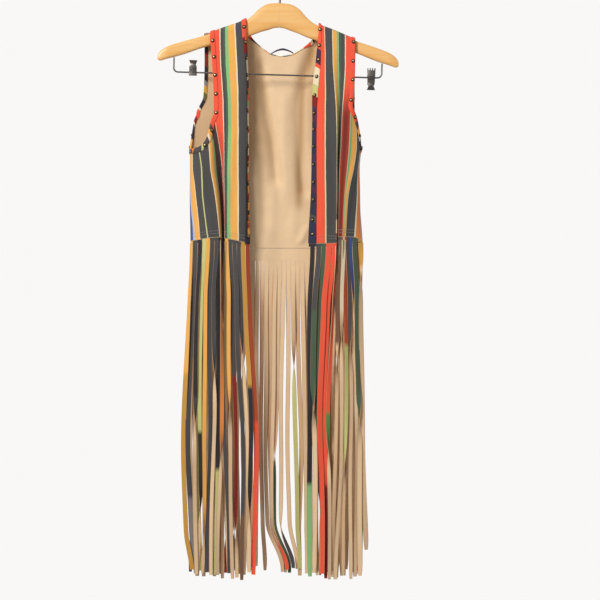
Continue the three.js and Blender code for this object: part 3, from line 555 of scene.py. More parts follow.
# A mesh object from millimetre points, groups of faces of equal length, and values for each point.
def piece(name, points, faces, materials, node, values=None, kinds=None, sharp=None):
    mesh = bpy.data.meshes.new(name)
    mesh.from_pydata((points * mm).tolist(), [], [f for group in faces for f in group.tolist()])
    for key, value in (values or {}).items():
        kind, field = ("FLOAT_COLOR", "color") if value.ndim == 2 else ("FLOAT", "value")
        mesh.attributes.new(key, kind, "POINT").data.foreach_set(field, value.astype(np.float32).ravel())
    for m in materials:
        mesh.materials.append(m)
    if kinds is not None:
        mesh.polygons.foreach_set("material_index", np.concatenate(kinds).astype(np.int32))
    mesh.shade_smooth()
    if sharp:
        mesh.set_sharp_from_angle(angle=math.radians(sharp))
    mesh.update()
    made = bpy.data.objects.new(name, mesh)
    bpy.context.scene.collection.objects.link(made)
    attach(made, "root")
    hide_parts(*([node] if isinstance(node, str) else node))
    return made


# Quads of a grid of point numbers, columns by rows.
def quads(n):
    return np.stack([n[:-1, :-1], n[1:, :-1], n[1:, 1:], n[:-1, 1:]], -1).reshape(-1, 4)


# Groups of faces, all turned over where the volume they close is negative.
def outwards(points, groups):
    return [group[:, ::-1] for group in groups] if volume(points, groups) < 0 else groups


# Closed tube through rings of points, stations by places round, with both ends filled.
def tube(rings):
    n = np.arange(rings[..., 0].size).reshape(rings.shape[:2])
    points = rings.reshape(-1, 3)
    return points, outwards(points, [quads(np.column_stack([n, n[:, :1]])), np.stack([n[0, ::-1], n[-1]])])


# Columns at us with rows climbing evenly from low to high.
def columns(us, low, high, rows):
    share = np.linspace(0, 1, rows)
    low, high = np.broadcast_to(low, us.shape), np.broadcast_to(high, us.shape)
    return np.repeat(us[:, None], rows, 1), low[:, None] + (high - low)[:, None] * share


# Value for the places of a panel where nothing applies.
def nowhere(u, w):
    return 0 * u


# Cloth shell from blocks of (u, w) columns that share their borders, one layer thick, then made solid.
# rise is the height above the hem; the other values give how much painted shade darkens the print in a
# pressed fold, how far the print runs off (slip) and how much painted shade darkens the plain side.
def shell(name, panel, blocks, materials, node, hem, foldShade=nowhere, slip=nowhere, napAndShade=nowhere):
    points, faces, across, height, count = [], [], [], [], 0
    for u, w in blocks:
        points.append(panel.surface(u, w).reshape(-1, 3))
        faces.append(quads(np.arange(u.size).reshape(u.shape)) + count)
        across.append(u.ravel())
        height.append(w.ravel())
        count += u.size
    faces = np.concatenate(faces)
    if panel.outward < 0:
        faces = faces[:, ::-1]
    u, w = np.concatenate(across), np.concatenate(height)
    values = {"across": u + slip(u, w), "rise": w - curve(hem, u), "foldShade": foldShade(u, w), "napAndShade": napAndShade(u, w)}
    points, faces, values = weld(np.concatenate(points), faces, values)
    made = piece(name, points, [faces], materials, node, values)
    solid = made.modifiers.new("thickness", "SOLIDIFY")
    solid.thickness, solid.offset = wall * mm, -1
    solid.material_offset = solid.material_offset_rim = 1
    area = np.linalg.norm(np.cross(points[faces[:, 2]] - points[faces[:, 0]],
                                   points[faces[:, 3]] - points[faces[:, 1]]), axis=1).sum() / 2
    print(name, "area", round(area / 1e6, 4), "square metres")
    return made


# Places from stop to stop about a pitch apart, with every stop kept.
def between(stops, pitch):
    parts = [np.linspace(a, b, max(2, round(abs(b - a) / pitch) + 1))[:-1]
             for a, b in zip(stops, stops[1:])]
    return np.concatenate([*parts, [stops[-1]]])


# Pitch of the columns, and rows up the body, up a strap and over its turn to the shoulder seam.
frontGrid = {"pitch": 1.1, "body": 96, "strap": 60, "turn": 12}
backGrid = {"pitch": 1.9, "body": 100, "strap": 64, "turn": 12}


# Blocks of a strap: up to the top of the arm, and over it to the shoulder seam.
def strapBlocks(panel, us, low, grid):
    start = panel.start(us)
    return [columns(us, low, start, grid["strap"]),
            columns(us, start, start + shoulder["reach"], grid["turn"])]


# Blocks of a front: the body up to the armhole, and the strap from the armhole's top.
def frontBlocks(panel, hem, armhole):
    edge, base = armhole[0]
    us = between([0, edge, armhole[-1][0]], frontGrid["pitch"])
    top = np.where(us > edge, curve(armhole, us), base)
    return [columns(us, curve(hem, us), top, frontGrid["body"]),
            *strapBlocks(panel, us[us <= edge], base, frontGrid)]


# Blocks of the back: the body, the two straps and the middle up to the neck.
def backBlocks():
    outer, inner = armholeBack[0][0], neck[-1][0]
    us = between([-halfBack, -outer, -inner, inner, outer, halfBack], backGrid["pitch"])
    side = np.abs(us)
    top = np.where(side > outer, curve(armholeBack, side), splitHeight)
    middle = us[side <= inner]
    return [columns(us, curve(hemBack, us), top, backGrid["body"]),
            *strapBlocks(backPanel, us[(us >= -outer) & (us <= -inner)], splitHeight, backGrid),
            *strapBlocks(backPanel, us[(us >= inner) & (us <= outer)], splitHeight, backGrid),
            columns(middle, splitHeight, curve(neck, np.abs(middle)), backGrid["strap"])]


# Painted shade on the back's plain side: up to the left fold, in a band down the right one and out beyond
# it.
def paintedShadeBack(u, w):
    line = curve([(-420, -8), (-331, -12), (-274, -20), (-217, -29), (-160, -38)], w)
    left = ease((line + 5 - u) / 13) * ease((w + 450) / 130) * (0.6 + 0.4 * ease((u + 84) / 14))
    fold = [(56, -140), (50, -162), (37, -217), (33, -274), (32, -331), (29, -388), (30, -470)]
    beyond = ease((u - 40) / 12) * ease((w + 390) / 100)
    return np.clip(0.55 * left + ridge(u, w, fold, 8, 0.85) + 0.45 * beyond, 0, 1)


# The fronts' prints get painted shade down their pressed folds, and the back's plain side in its folds.
cloth = {
    "right": shell("frontRightCloth", frontRight, frontBlocks(frontRight, hemRight, armholeRight),
                   [printRight, inside], "front_right", hemRight,
                   foldShade=lambda u, w: 0.8 * np.exp(-(((u - 79) / 9) ** 2)) * ease((-330 - w) / 90),
                   slip=lambda u, w: 6 * ease((-380 - w) / 130) * ease((u - 138) / 10)),
    "left": shell("frontLeftCloth", frontLeft, frontBlocks(frontLeft, hemLeft, armholeLeft),
                  [printLeft, inside], "front_left", hemLeft,
                  foldShade=lambda u, w: np.exp(-(((u - 86) / 13) ** 2)) * ease((-225 - w) / 70)),
    "back": shell("backCloth", backPanel, backBlocks(), [printBack, inside], "back", hemBack,
                  napAndShade=paintedShadeBack)}
print("cloth made")


# Points along a path over (u, w) and the unit way along it, at a pitch or at given distances.
def stations(path, pitch=1.6, at=None):
    path = np.array(path, float)
    run = runAlong(path)
    if at is None:
        at = np.linspace(0, run[-1], round(run[-1] / pitch) + 1)
    at = np.asarray(at, float)
    u, w = (through(run, column, at) for column in path.T)
    du, dw = (through(run, column, at + 0.5) - through(run, column, at - 0.5) for column in path.T)
    size = np.hypot(du, dw)
    return at, u, w, du / size, dw / size


# Outline of a binding round its edge: inset from the edge, share of the turn-in added to it, lift.
bindingOutline = np.array([
    [8.8, 0, 0.3], [8.9, 0, 0.9], [8.4, 0, 1.3], [6, 0, 1.45], [3, 0, 1.5], [0.8, 0, 1.4], [-0.4, 0, 1.0],
    [-0.8, 0, 0.2], [-0.9, 0, -0.7], [-0.7, 0, -1.7], [-0.2, 0, -2.2], [0.3, 0, -2.4], [0, 0.5, -2.55],
    [0, 1, -2.45], [0, 1.02, -1.9], [0, 0.95, -1.45], [0.3, 0, -1.4], [0, 0, -1.2], [-0.05, 0, -0.6],
    [0, 0, 0], [0.3, 0, 0.2]])


# Strip folded over an edge: the outline swept along the path. Inside the edge the outline follows the
# cloth, past it it goes straight on. turnIn is how far it comes back behind the cloth, as (along,
# millimetres) pairs.
def binding(name, panel, path, side, turnIn, look, node):
    at, u, w, du, dw = (v[:, None] for v in stations(path))
    inset = bindingOutline[:, 0] + curve(turnIn, at) * bindingOutline[:, 1]
    on = np.maximum(inset, 0.15) * side
    inwards = unitVectors(panel.surface(u - dw * side * 0.6, w + du * side * 0.6) - panel.surface(u, w))
    rings = panel.lifted(u - dw * on, w + du * on, bindingOutline[:, 2])
    points, faces = tube(rings + inwards * np.minimum(inset, 0)[..., None])
    values = {"across": inset.ravel(), "along": np.broadcast_to(at, inset.shape).ravel()}
    return piece(name, points, faces, [look], node, values, sharp=50)


# Height over a panel where its shoulder seam lies.
def overShoulder(panel, u):
    return float(panel.start(np.array([float(u)]))[0]) + shoulder["reach"]


# Front edge from the hem up.
def frontEdge(panel, hem):
    return [(0, hem), (0, -400), (0, splitHeight), (0, -190), (0, overShoulder(panel, 0))]


# Armhole edge from the side seam round and up. direction is 1 or -1, for the half of the back.
def armEdge(panel, armhole, direction):
    edge, base = armhole[0]
    straight = [(edge, base), (edge, -220), (edge, -170), (edge, overShoulder(panel, edge * direction))]
    return [(u * direction, w) for u, w in [*armhole[:0:-1], *straight]]


# Panel, path over (u, w) and side of the path on which the cloth lies, for each bound edge. The paths
# climb to the shoulder seam, and the neck's runs towards the wearer's left.
edges = {
    "frontRight": (frontRight, frontEdge(frontRight, -520), -1),
    "frontLeft": (frontLeft, frontEdge(frontLeft, -519), -1),
    "armRightFront": (frontRight, armEdge(frontRight, armholeRight, 1), 1),
    "armLeftFront": (frontLeft, armEdge(frontLeft, armholeLeft, 1), 1),
    "armRightBack": (backPanel, armEdge(backPanel, armholeBack, -1), -1),
    "armLeftBack": (backPanel, armEdge(backPanel, armholeBack, 1), 1),
    "neck": (backPanel, [*[(-u, w) for u, w in neck[:0:-1]], *neck], -1)}
evenTurn = [(0, 2), (420, 2)]

# Where each band of paint ends along its binding.
bindingRows = {
    "frontRight": {
        "node": "binding_front_right", "turnIn": evenTurn,
        "paint": [(16, "black"), (30, "amber"), (38, "rust"), (54, "orange"), (62, "black"),
                  (76, "amber"), (80, "cream"), (94, "rust"), (108, "amber"), (116, "black"),
                  (132, "orange"), (138, "cream"), (152, "amber"), (162, "darkRed"), (204, "cream"),
                  (212, "rust"), (238, "cream"), (252, "pink"), (262, "leaf"), (284, "red"),
                  (300, "black"), (340, "cream"), (352, "purple"), (372, "darkRed"), (440, "red")],
        # The binding's black face low down is painted shade where the edge turns away.
        "face": [(180, "black"), (352, "charcoal"), (380, "darkRed"), (440, "red")]},
    "frontLeft": {
        "node": "binding_front_left", "turnIn": evenTurn,
        "paint": [(42, "navy"), (54, "charcoal"), (96, "navy"), (104, "purple"), (150, "navy"),
                  (166, "purple"), (224, "navy"), (252, "purple"), (270, "darkRed"), (292, "lime"),
                  (322, "cream"), (330, "red"), (356, "purple"), (440, "red")]},
    "armRightFront": {
        "node": "binding_armhole_right_front", "turnIn": evenTurn,
        "paint": [(16, "blue"), (26, "orange"), (44, "charcoal"), (50, "lime"), (68, "charcoal"),
                  (74, "cream"), (84, "amber"), (96, "charcoal"), (106, "red"), (330, "red")]},
    "armLeftFront": {
        "node": "binding_armhole_left_front", "turnIn": evenTurn,
        "paint": [(12, "orange"), (30, "charcoal"), (40, "cream"), (52, "amber"), (66, "charcoal"),
                  (76, "red"), (330, "red")]},
    "armRightBack": {
        "node": "binding_armhole_right_back", "turnIn": [(0, 5), (160, 6), (300, 6)],
        "paint": [(22, "amber"), (52, "black"), (57, "cream"), (70, "darkRed"), (84, "red"),
                  (88, "cream"), (102, "black"), (115, "olive"), (128, "ochre"), (137, "grey"),
                  (165, "black"), (187, "darkRed"), (200, "black"), (330, "purple")]},
    "armLeftBack": {
        "node": "binding_armhole_left_back", "turnIn": [(0, 3), (160, 2), (300, 2)],
        "paint": [(16, "red"), (30, "charcoal"), (42, "cream"), (60, "black"), (74, "ochre"),
                  (92, "charcoal"), (104, "red"), (130, "black"), (146, "leaf"), (170, "black"),
                  (188, "darkRed"), (330, "black")]},
    "neck": {
        "node": "binding_neck",
        "turnIn": [(0, 6), (22, 4), (40, 0.8), (100, 0.5), (128, 1), (146, 4.5), (176, 6)],
        "paint": [(24, "red"), (28, "darkRed"), (46, "black"), (54, "cream"), (66, "orange"),
                  (78, "charcoal"), (90, "cream"), (104, "green"), (120, "amber"), (130, "cream"),
                  (146, "red"), (152, "cream"), (170, "black"), (190, "red")]}}
for key, row in bindingRows.items():
    name = "binding" + key[0].upper() + key[1:]
    look = material(name + "Paint", biasBands(row["paint"], row.get("face")))
    binding(name, *edges[key], row["turnIn"], look, row["node"])
print("bindings made")


# Copies of one small closed shape at places, each with its own three axes.
def scattered(unit, faces, places, x, y, z):
    points = (places[:, None] + x[:, None] * unit[None, :, :1] + y[:, None] * unit[None, :, 1:2]
              + z[:, None] * unit[None, :, 2:])
    count = len(unit)
    return points.reshape(-1, 3), [
        (group[None] + (np.arange(len(places)) * count)[:, None, None]).reshape(-1, group.shape[1])
        for group in faces]


# Shape turned round its own z from (radius, height) points, its last point on the axis.
def turned(profile, sides):
    angle = np.linspace(0, 2 * math.pi, sides, endpoint=False)
    rings = [np.stack([r * np.cos(angle), r * np.sin(angle), np.full(sides, h)], -1)
             for r, h in profile[:-1]]
    points = np.concatenate([*rings, [[0, 0, profile[-1][1]]]])
    n = np.arange(sides * len(rings)).reshape(len(rings), sides)
    body = quads(np.column_stack([n, n[:, :1]]))[:, ::-1]
    top = np.stack([n[-1], np.roll(n[-1], -1), np.full(sides, len(points) - 1)], -1)
    return points, [body, top, n[:1, ::-1]]


capRadius = 3.6
capProfile = [(3.55, -0.4), (capRadius, 0.4), (3.4, 0.9), (3.0, 1.1), (2.6, 1.1), (2.35, 1.4), (1.9, 2.0),
              (1.1, 2.35), (0, 2.45)]
capLift = 1.4           # of a cap over the panel's printed face
studRises = {   # distances up each edge from its lower end
    "frontRight": [14, 46, 79, 112, 145, 178, 211, 243, 276, 308, 339, 368, 396],
    "frontLeft": [17, 43, 80, 112, 144, 177, 208, 238, 270, 304, 335, 361, 390],
    "armRightFront": [17, 51, 86, 121, 155, 189, 222, 252],
    "armLeftFront": [8, 34, 71, 104, 141, 175, 209],
    "armRightBack": [9, 34, 66, 101, 136, 164, 196],
    "armLeftBack": [9, 38, 70, 104, 138, 170, 200]}
studPlaces = []
for key, distances in studRises.items():
    panel, path, side = edges[key]
    _, u, w, du, dw = stations(path, at=distances)
    u, w = u - dw * side * bandWidth / 2, w + du * side * bandWidth / 2
    out = panel.normal(panel.surface, u, w)
    along = unitVectors(panel.surface(u, w + 1) - panel.surface(u, w - 1))
    studPlaces.append((panel.surface(u, w) + out * capLift, out, along))
place, out, along = (np.concatenate(column) for column in zip(*studPlaces))
unit, unitFaces = turned(capProfile, 16)
points, faces = scattered(unit, unitFaces, place, np.cross(along, out), along, out)
rim = np.tile(np.hypot(unit[:, 0], unit[:, 1]) / capRadius, len(place))
studs = piece("studs", points, faces, [brass], [bindingRows[key]["node"] for key in studRises],
              {"across": rim}, sharp=40)
print("studs made:", len(place))

# Two rows of stitches above each front hem and one each side of the back's header seam.
stitch = {"pitch": 3.6, "half": 1.3, "lift": 0.25,
          "profile": [(0.12, -1), (0.3, -0.8), (0.36, -0.2), (0.36, 0.4), (0.22, 0.9), (0, 1)]}
stitchRows = [(frontRight, hemRight, 4, 156, (7.5, 12.2)), (frontLeft, hemLeft, 4, 144, (8.5, 13.5)),
              (backPanel, hemBack, -170, 170, (4, 9))]
stitchPlaces = []
for panel, hem, low, high, rises in stitchRows:
    for rise in rises:
        u = np.arange(low, high, stitch["pitch"])
        w = curve(hem, u) + rise
        before, after = (panel.surface(u + d, curve(hem, u + d) + rise) for d in (-1, 1))
        out = panel.normal(panel.surface, u, w)
        stitchPlaces.append((panel.surface(u, w) + out * stitch["lift"], unitVectors(after - before), out))
place, beside, out = (np.concatenate(column) for column in zip(*stitchPlaces))
points, faces = scattered(*turned(stitch["profile"], 6), place, out, np.cross(beside, out),
                          beside * stitch["half"])
stitching = piece("stitching", points, faces, [thread], ["front_right", "front_left", "back"])
print("stitches made:", len(place))


# Closed sheet between two grids of points: both faces and the rim all round, printed face first.
def closedSheet(outer, inner):
    n = np.arange(outer.shape[0] * outer.shape[1]).reshape(outer.shape[:2])
    m = n + n.size
    edges = [(n[:, 0], m[:, 0]), (n[-1], m[-1]), (n[::-1, -1], m[::-1, -1]), (n[0, ::-1], m[0, ::-1])]
    rim = np.concatenate([np.stack([a[1:], a[:-1], b[:-1], b[1:]], -1) for a, b in edges])
    front = quads(n)
    faces = np.concatenate([front, quads(m)[:, ::-1], rim])
    points = np.concatenate([outer.reshape(-1, 3), inner.reshape(-1, 3)])
    kinds = np.concatenate([np.zeros(len(front), int), np.ones(len(faces) - len(front), int)])
    return points, faces, kinds


# Pitch of the strands, what each leaves free in its lane, limits of half its width, stations down it
# and about where it ends.
strand = {"pitch": 8, "gap": 0.1, "halfWidths": (3.7, 4.9), "stations": 60, "tip": -1120}
hemGap = 0.1            # between the hem of a panel and its header
neverTurns = -3000
tuckedRow = ("charcoal", "brown", -800, -650)       # paints inside the pressed fold of a front
strandOutline = [(-1, 0.5), (-0.94, 1), (-0.66, 1), (0.66, 1), (0.94, 1), (1, 0.5),
                 (1, -0.5), (0.94, -1), (0.66, -1), (-0.66, -1), (-0.94, -1), (-1, -0.5)]


# Each strand of a fringe: its outline is a flat bar with eased corners, swept down a path that leaves
# the header at its root, eases into its own lane and drifts apart lower down, turning as it goes.
# Lanes are places across by a strand's share of the row, at the top and low down, and the strands take
# the first two layers in turn. fold is (from, to, lane, pitch) of the strands tucked behind in the
# third layer, tips the heights where single strands end, turning how far they turn by chance and
# scatter how far the height of their change of paint goes up and down.
def fringe(name, panel, node, span, hem, header, lanes, lowLanes, layers, salt, rows, drift, turning,
           fold=None, tips=None, scatter=0):
    count = round((span[1] - span[0]) / strand["pitch"])
    i = np.arange(count)
    u = span[0] + (i + 0.5) / count * (span[1] - span[0])
    top = curve(hem, u) - hemGap - header
    root = panel.lifted(u, top, -wall / 2)
    beside = panel.base(u + 0.5, top) - panel.base(u - 0.5, top)
    behind = (u > fold[0]) & (u < fold[1]) if fold else np.zeros(count, bool)
    order, hidden = np.cumsum(~behind) - 1, np.cumsum(behind) - 1
    share = (order + 0.5) / max(order[-1] + 1, 1)
    lane, low = curve(lanes, share), curve(lowLanes, share) + 2.6 * (chance(i, salt + 2) - 0.5)
    depth = np.array(layers)[order % 2] + 1.6 * (chance(i, salt + 3) - 0.5)
    if fold:
        tucked = fold[2] + fold[3] * (hidden - (behind.sum() - 1) / 2)
        lane, low = np.where(behind, tucked, lane), np.where(behind, tucked + fold[3] * 0.4, low)
        depth = np.where(behind, layers[2], depth)
    tip = strand["tip"] - 12 * chance(i, salt) + 10 * chance(i, salt + 1)
    for k, z in (tips or {}).items():
        tip[k] = z
    t = np.linspace(0, 1, strand["stations"])[None]
    z = top[:, None] + (tip - top)[:, None] * t
    spread = ease((top[:, None] - z) / 110)
    lower = ease((-z - 560) / 360)
    x = root[:, :1] + (lane[:, None] - root[:, :1]) * spread + (low - lane)[:, None] * lower
    sway = 1.8 * lower * np.sin(z / 70 + 6.3 * chance(i, salt + 5)[:, None])
    stray = 6 * (chance(i, salt + 13) - 0.5)[:, None] * ease((-z - 880) / 240)
    x = x + drift((i[:, None] + 0.5) / count, z) + sway + stray
    y = root[:, 1:2] + (depth[:, None] - root[:, 1:2]) * spread
    y = y + 1.2 * lower * np.sin(z / 55 + 6.3 * chance(i, salt + 6)[:, None])

    paintRows = [tuckedRow if hid else rows[k % len(rows)] for k, hid in zip(order, behind)]
    upper, lowPaint = (np.array([colour(row[k]) for row in paintRows]) for k in (0, 1))
    change = np.array([row[2] for row in paintRows]) + scatter * (chance(i, salt + 14) - 0.5)
    flip = np.array([row[3] or neverTurns for row in paintRows])

    # Level with the lane, then a turn by chance, half a turn at flip and a slow wave.
    start = np.arctan2(beside[:, 1], beside[:, 0])
    level = np.round(start / math.pi) * math.pi
    way = np.where(chance(i, salt + 7) > 0.5, 1, -1)
    angle = start[:, None] + (level - start)[:, None] * ease((t - 0.05) * 1.6)
    angle = angle + (chance(i, salt + 4) - 0.5)[:, None] * turning * ease((t - 0.35) * 1.6)
    angle = angle + (way * math.pi)[:, None] * ease((flip[:, None] + 70 - z) / 140)
    angle = angle + turning * 0.35 * lower * np.sin(z / 90 + 6.3 * chance(i, salt + 8)[:, None])
    wide = np.stack([np.cos(angle), np.sin(angle), np.zeros_like(angle)], -1)
    out = np.stack([-wide[..., 1], wide[..., 0], np.zeros_like(angle)], -1) * -panel.outward

    pitch = np.linalg.norm(beside, axis=1) * (span[1] - span[0]) / count
    reach = np.clip(pitch / 2 - strand["gap"], *strand["halfWidths"])[:, None] * (1 - 0.02 * t)
    reach = reach * (1 - 0.05 * chance(i, salt + 9)[:, None] * ease((t - 0.4) * 3))
    reach = reach * (1 - 0.45 * ease((t - 0.97) / 0.03) * chance(i, salt + 10)[:, None])
    centre, half = np.stack([x, y, z], -1), wall / 2
    rings = np.stack([centre + wide * (a * reach)[..., None] + out * (b * half)
                      for a, b in strandOutline], 2)
    sides = len(strandOutline)
    n = np.arange(rings[..., 0].size).reshape(rings.shape[:3])
    ring = np.concatenate([n, n[:, :, :1]], 2)
    body = np.stack([ring[:, :-1, :-1], ring[:, 1:, :-1], ring[:, 1:, 1:], ring[:, :-1, 1:]], -1)
    kinds = np.broadcast_to(np.array([1, 0, 0, 0, *[1] * (sides - 4)]), body.shape[:3]).reshape(-1)
    caps = np.concatenate([n[:, 0], n[:, -1, ::-1]])
    flat = rings.reshape(-1, 3)
    body, caps = outwards(flat, [body.reshape(-1, 4), caps])
    tint = np.where((z < change[:, None])[..., None], lowPaint[:, None], upper[:, None])
    tint = np.repeat(tint[:, :, None], sides, 2).reshape(-1, 4)

    us = between([span[0] + seamGap, span[1] - seamGap], 1.0)
    uu, ww = columns(us, curve(hem, us) - seamGap - header, curve(hem, us) - hemGap,
                     5 if header < 10 else 12)
    headPoints, headFaces, headKinds = closedSheet(panel.surface(uu, ww), panel.lifted(uu, ww, -wall))
    if panel.outward < 0:
        headFaces = headFaces[:, ::-1]
    owner = np.clip(((us - span[0]) / (span[1] - span[0]) * count).astype(int), 0, count - 1)
    headTint = np.tile(np.repeat(upper[owner], uu.shape[1], 0), (2, 1))

    # Painted shade along the strands' edges, where they meet, and darker plain suede all over a strand by
    # chance.
    outlineEnds = np.array([abs(a) > 0.9 for a, _ in strandOutline])
    shade = 0.6 * chance(i, salt + 12)[:, None, None] ** 2 * ease(t * 4)[:, :, None]
    shade = np.minimum(shade + 0.75 * outlineEnds * ease(t * 12)[:, :, None], 1)
    values = {"tint": np.concatenate([tint, headTint]),
              "shade": np.concatenate([shade.ravel(), np.zeros(len(headTint))])}
    return piece(name, np.concatenate([flat, headPoints]), [body, headFaces + len(flat), caps],
                 [printFringe, insideFringe], node, values,
                 [kinds, headKinds, np.ones(len(caps), int)], sharp=45)


# Rows from the front edge out: upper paint, lower paint, height of the change, height of the turn or 0
# for none.
rowsRight = [
    ("rust", "red", -840, 0), ("ochre", "black", -780, -1010), ("charcoal", "brown", -800, -720),
    ("charcoal", "brown", -1010, 0), ("charcoal", "darkRed", -760, -1040), ("amber", "mauve", -900, -820),
    ("olive", "charcoal", -800, 0), ("rust", "orange", -640, -900), ("black", "lime", -930, 0),
    ("charcoal", "black", -900, -760), ("charcoal", "charcoal", -900, 0), ("amber", "amber", -900, -1045),
    ("lime", "black", -860, -1000), ("black", "charcoal", -800, -850), ("charcoal", "grey", -980, 0),
    ("amber", "ochre", -760, 0)]
rowsLeft = [
    ("black", "leaf", -960, 0), ("charcoal", "green", -640, -820), ("green", "green", -800, -1000),
    ("red", "red", -900, 0), ("red", "darkRed", -960, 0), ("red", "grass", -830, -900),
    ("brown", "tan", -700, -740), ("cream", "tan", -640, -700), ("rust", "lime", -700, -930),
    ("charcoal", "rust", -860, -700), ("blue", "tan", -640, -640), ("green", "brown", -900, -830),
    ("ochre", "tan", -560, -560)]
rowsBack = [
    ("blue", "charcoal", -800, -1045), ("orange", "charcoal", -900, 0), ("charcoal", "lime", -700, -740),
    ("leaf", "amber", -900, 0), ("green", "charcoal", -800, 0), ("red", "red", -800, 0),
    ("cream", "charcoal", -900, 0), ("charcoal", "navy", -900, 0), ("amber", "ochre", -900, 0),
    ("rust", "red", -900, -1050), ("grass", "green", -990, -905)]

# The tips of a few strands in the middle of the back are swept to the wearer's left.
sweptTips = [(0, 0), (0.39, 0), (0.42, 26), (0.511, 26), (0.534, 14),
             (0.557, 5.5), (0.6, 2), (0.7, 0), (1, 0)]
fringes = {
    "right": fringe(
        "fringeFrontRight", frontRight, "fringe_front_right", span=(0, 160), hem=hemRight, header=5,
        lanes=[(0, -55), (1, -169)], lowLanes=[(0, -44), (1, -181)], layers=[-23.5, -27, -12],
        fold=(56, 90, -107, -8), salt=3, rows=rowsRight, turning=0.8,
        drift=lambda s, z: 4 * np.sin(s * 9 + z / 160) * ease((-z - 560) / 300)
        + ease((s - 0.86) / 0.1) * ease((-z - 1040) / 80) * 9),
    "left": fringe(
        "fringeFrontLeft", frontLeft, "fringe_front_left", span=(0, 148), hem=hemLeft, header=5,
        lanes=[(0, 49), (0.42, 95), (0.5, 103), (1, 149)],
        lowLanes=[(0, 46), (0.42, 89), (0.5, 98), (1, 152)],
        layers=[-23.5, -27, -12], fold=(50, 92, 104, 8), salt=11, rows=rowsLeft, turning=0.8,
        drift=lambda s, z: 4 * np.sin(s * 7 + 1 + z / 170) * ease((-z - 560) / 300), tips={17: -1076}),
    "back": fringe(
        "fringeBack", backPanel, "fringe_back", span=(-halfBack, halfBack), hem=hemBack, header=22,
        lanes=[(0, -166), (0.323, -62), (0.5, 0), (0.588, 33), (0.677, 66), (1, 150)],
        lowLanes=[(0, -170), (0.4, -36), (0.42, -27), (0.511, -3), (0.534, 13), (0.557, 27), (1, 151)],
        layers=[12, 16], salt=23, rows=rowsBack, turning=0.35, scatter=260,
        drift=lambda s, z: curve(sweptTips, s) * ease((-z - 1030) / 85))}
print("fringes made")


neckFoot = -179.0       # foot of the label, where the patches behind the neck take their plane


# Flat patch standing behind the neck edge, thickened between two lifts.
def patch(name, us, low, high, rows, lifts, look, node):
    uu, ww = columns(us, low, high, rows)
    flat, out = backPanel.base(uu, neckFoot), backPanel.normal(backPanel.base, uu, neckFoot)
    flat[..., 2] = ww
    points, faces, _ = closedSheet(flat + out * lifts[1], flat + out * lifts[0])
    return piece(name, points, [faces[:, ::-1]], [look], node, sharp=40)


labelUs, loopUs = np.linspace(-23, 19, 43), np.linspace(-22, 20, 43)
labelTop = -161.2 - 10.5 * np.abs((labelUs - 1) / 25) ** 1.8
loopTop = -157.2 - 12 * np.abs((loopUs - 1) / 24) ** 1.7
label = patch("neckLabel", labelUs, neckFoot, labelTop, 14, (1.8, 2.6), labelCloth, "neck_label")
loop = patch("neckLoop", loopUs, loopTop - 4.4, loopTop, 5, (2.9, 4.1), tape, "neck_loop")


# Half of the hanger: sections are superellipses of power 0.55 between the top and bottom edges.
def woodHalf(name, direction, node):
    span = np.concatenate([np.linspace(seamGap / 2, 205, 90), np.linspace(207, halfSpan, 12)])[:, None]
    top, bottom = (through(woodRows[:, 0], woodRows[:, k], span) for k in (1, 2))
    thick = 13 * through([0, 200, 214, halfSpan], [1, 1, 0.75, 0.5], span)
    a = np.linspace(0, 2 * math.pi, 40, endpoint=False)[None] + math.pi / 40
    flat, tall = (np.sign(f(a)) * np.abs(f(a)) ** 0.55 for f in (np.cos, np.sin))
    points, faces = tube(tilted(np.stack([
        direction * span + 0 * a, armForward(span) + flat * thick / 2,
        -hangerDrop + (top + bottom) / 2 + tall * (top - bottom) / 2], -1)))
    return piece(name, points, faces, [wood], node, sharp=40)


woods = [woodHalf("hangerWoodRight", -1, "hanger_wood_right"),
         woodHalf("hangerWoodLeft", 1, "hanger_wood_left")]


# Round wire in the hanger's plane: rings square to the path, between the path's way and Y.
def wire(name, path, radius, node, depth=0.0, sides=16):
    path = np.array(path, float)
    way = unitVectors(np.gradient(path, runAlong(path), axis=0))
    square = np.stack([-way[:, 1], way[:, 0]], -1)
    a = np.linspace(0, 2 * math.pi, sides, endpoint=False)
    x, z = (path[:, None, k] + square[:, None, k] * radius * np.cos(a) for k in (0, 1))
    y = depth + np.broadcast_to(radius * np.sin(a), x.shape)
    points, faces = tube(tilted(np.stack([x, y, z], -1)))
    return piece(name, points, faces, [steel], node, sharp=50)


# Points round part of a circle, between two angles in degrees.
def arc(x, z, radius, low, high, count):
    a = np.radians(np.linspace(low, high, count))
    return np.stack([x + radius * np.cos(a), z + radius * np.sin(a)], -1)


stem = [[0, -hangerDrop + seamGap], [0, -66], [0, -58], [1.5, -51], [5.5, -44], [11, -37.5], [16, -30.5]]
knots = np.concatenate([stem, arc(0, -17, 19, -15, 212, 60)])
run = runAlong(knots)
at = np.linspace(0, run[-1], 120)
wire("hangerHook", np.stack([through(run, column, at) for column in knots.T], -1), 2, "hook")

barSpan, barBend, barLevel = 190, 8, -hangerDrop - 133
barTop = -hangerDrop + float(through(woodRows[:, 0], woodRows[:, 2], barSpan)) - seamGap - 0.6
barDepth = armForward(barSpan)
bends = [arc(barSpan - barBend, barLevel + barBend, barBend, 0, -90, 16),
         arc(barBend - barSpan, barLevel + barBend, barBend, -90, -180, 16)]
barPath = [[[barSpan, barTop]], bends[0], [[60, barLevel], [-60, barLevel]], bends[1], [[-barSpan, barTop]]]
wire("clipBar", np.concatenate(barPath), 1.5, "clip_bar", barDepth)


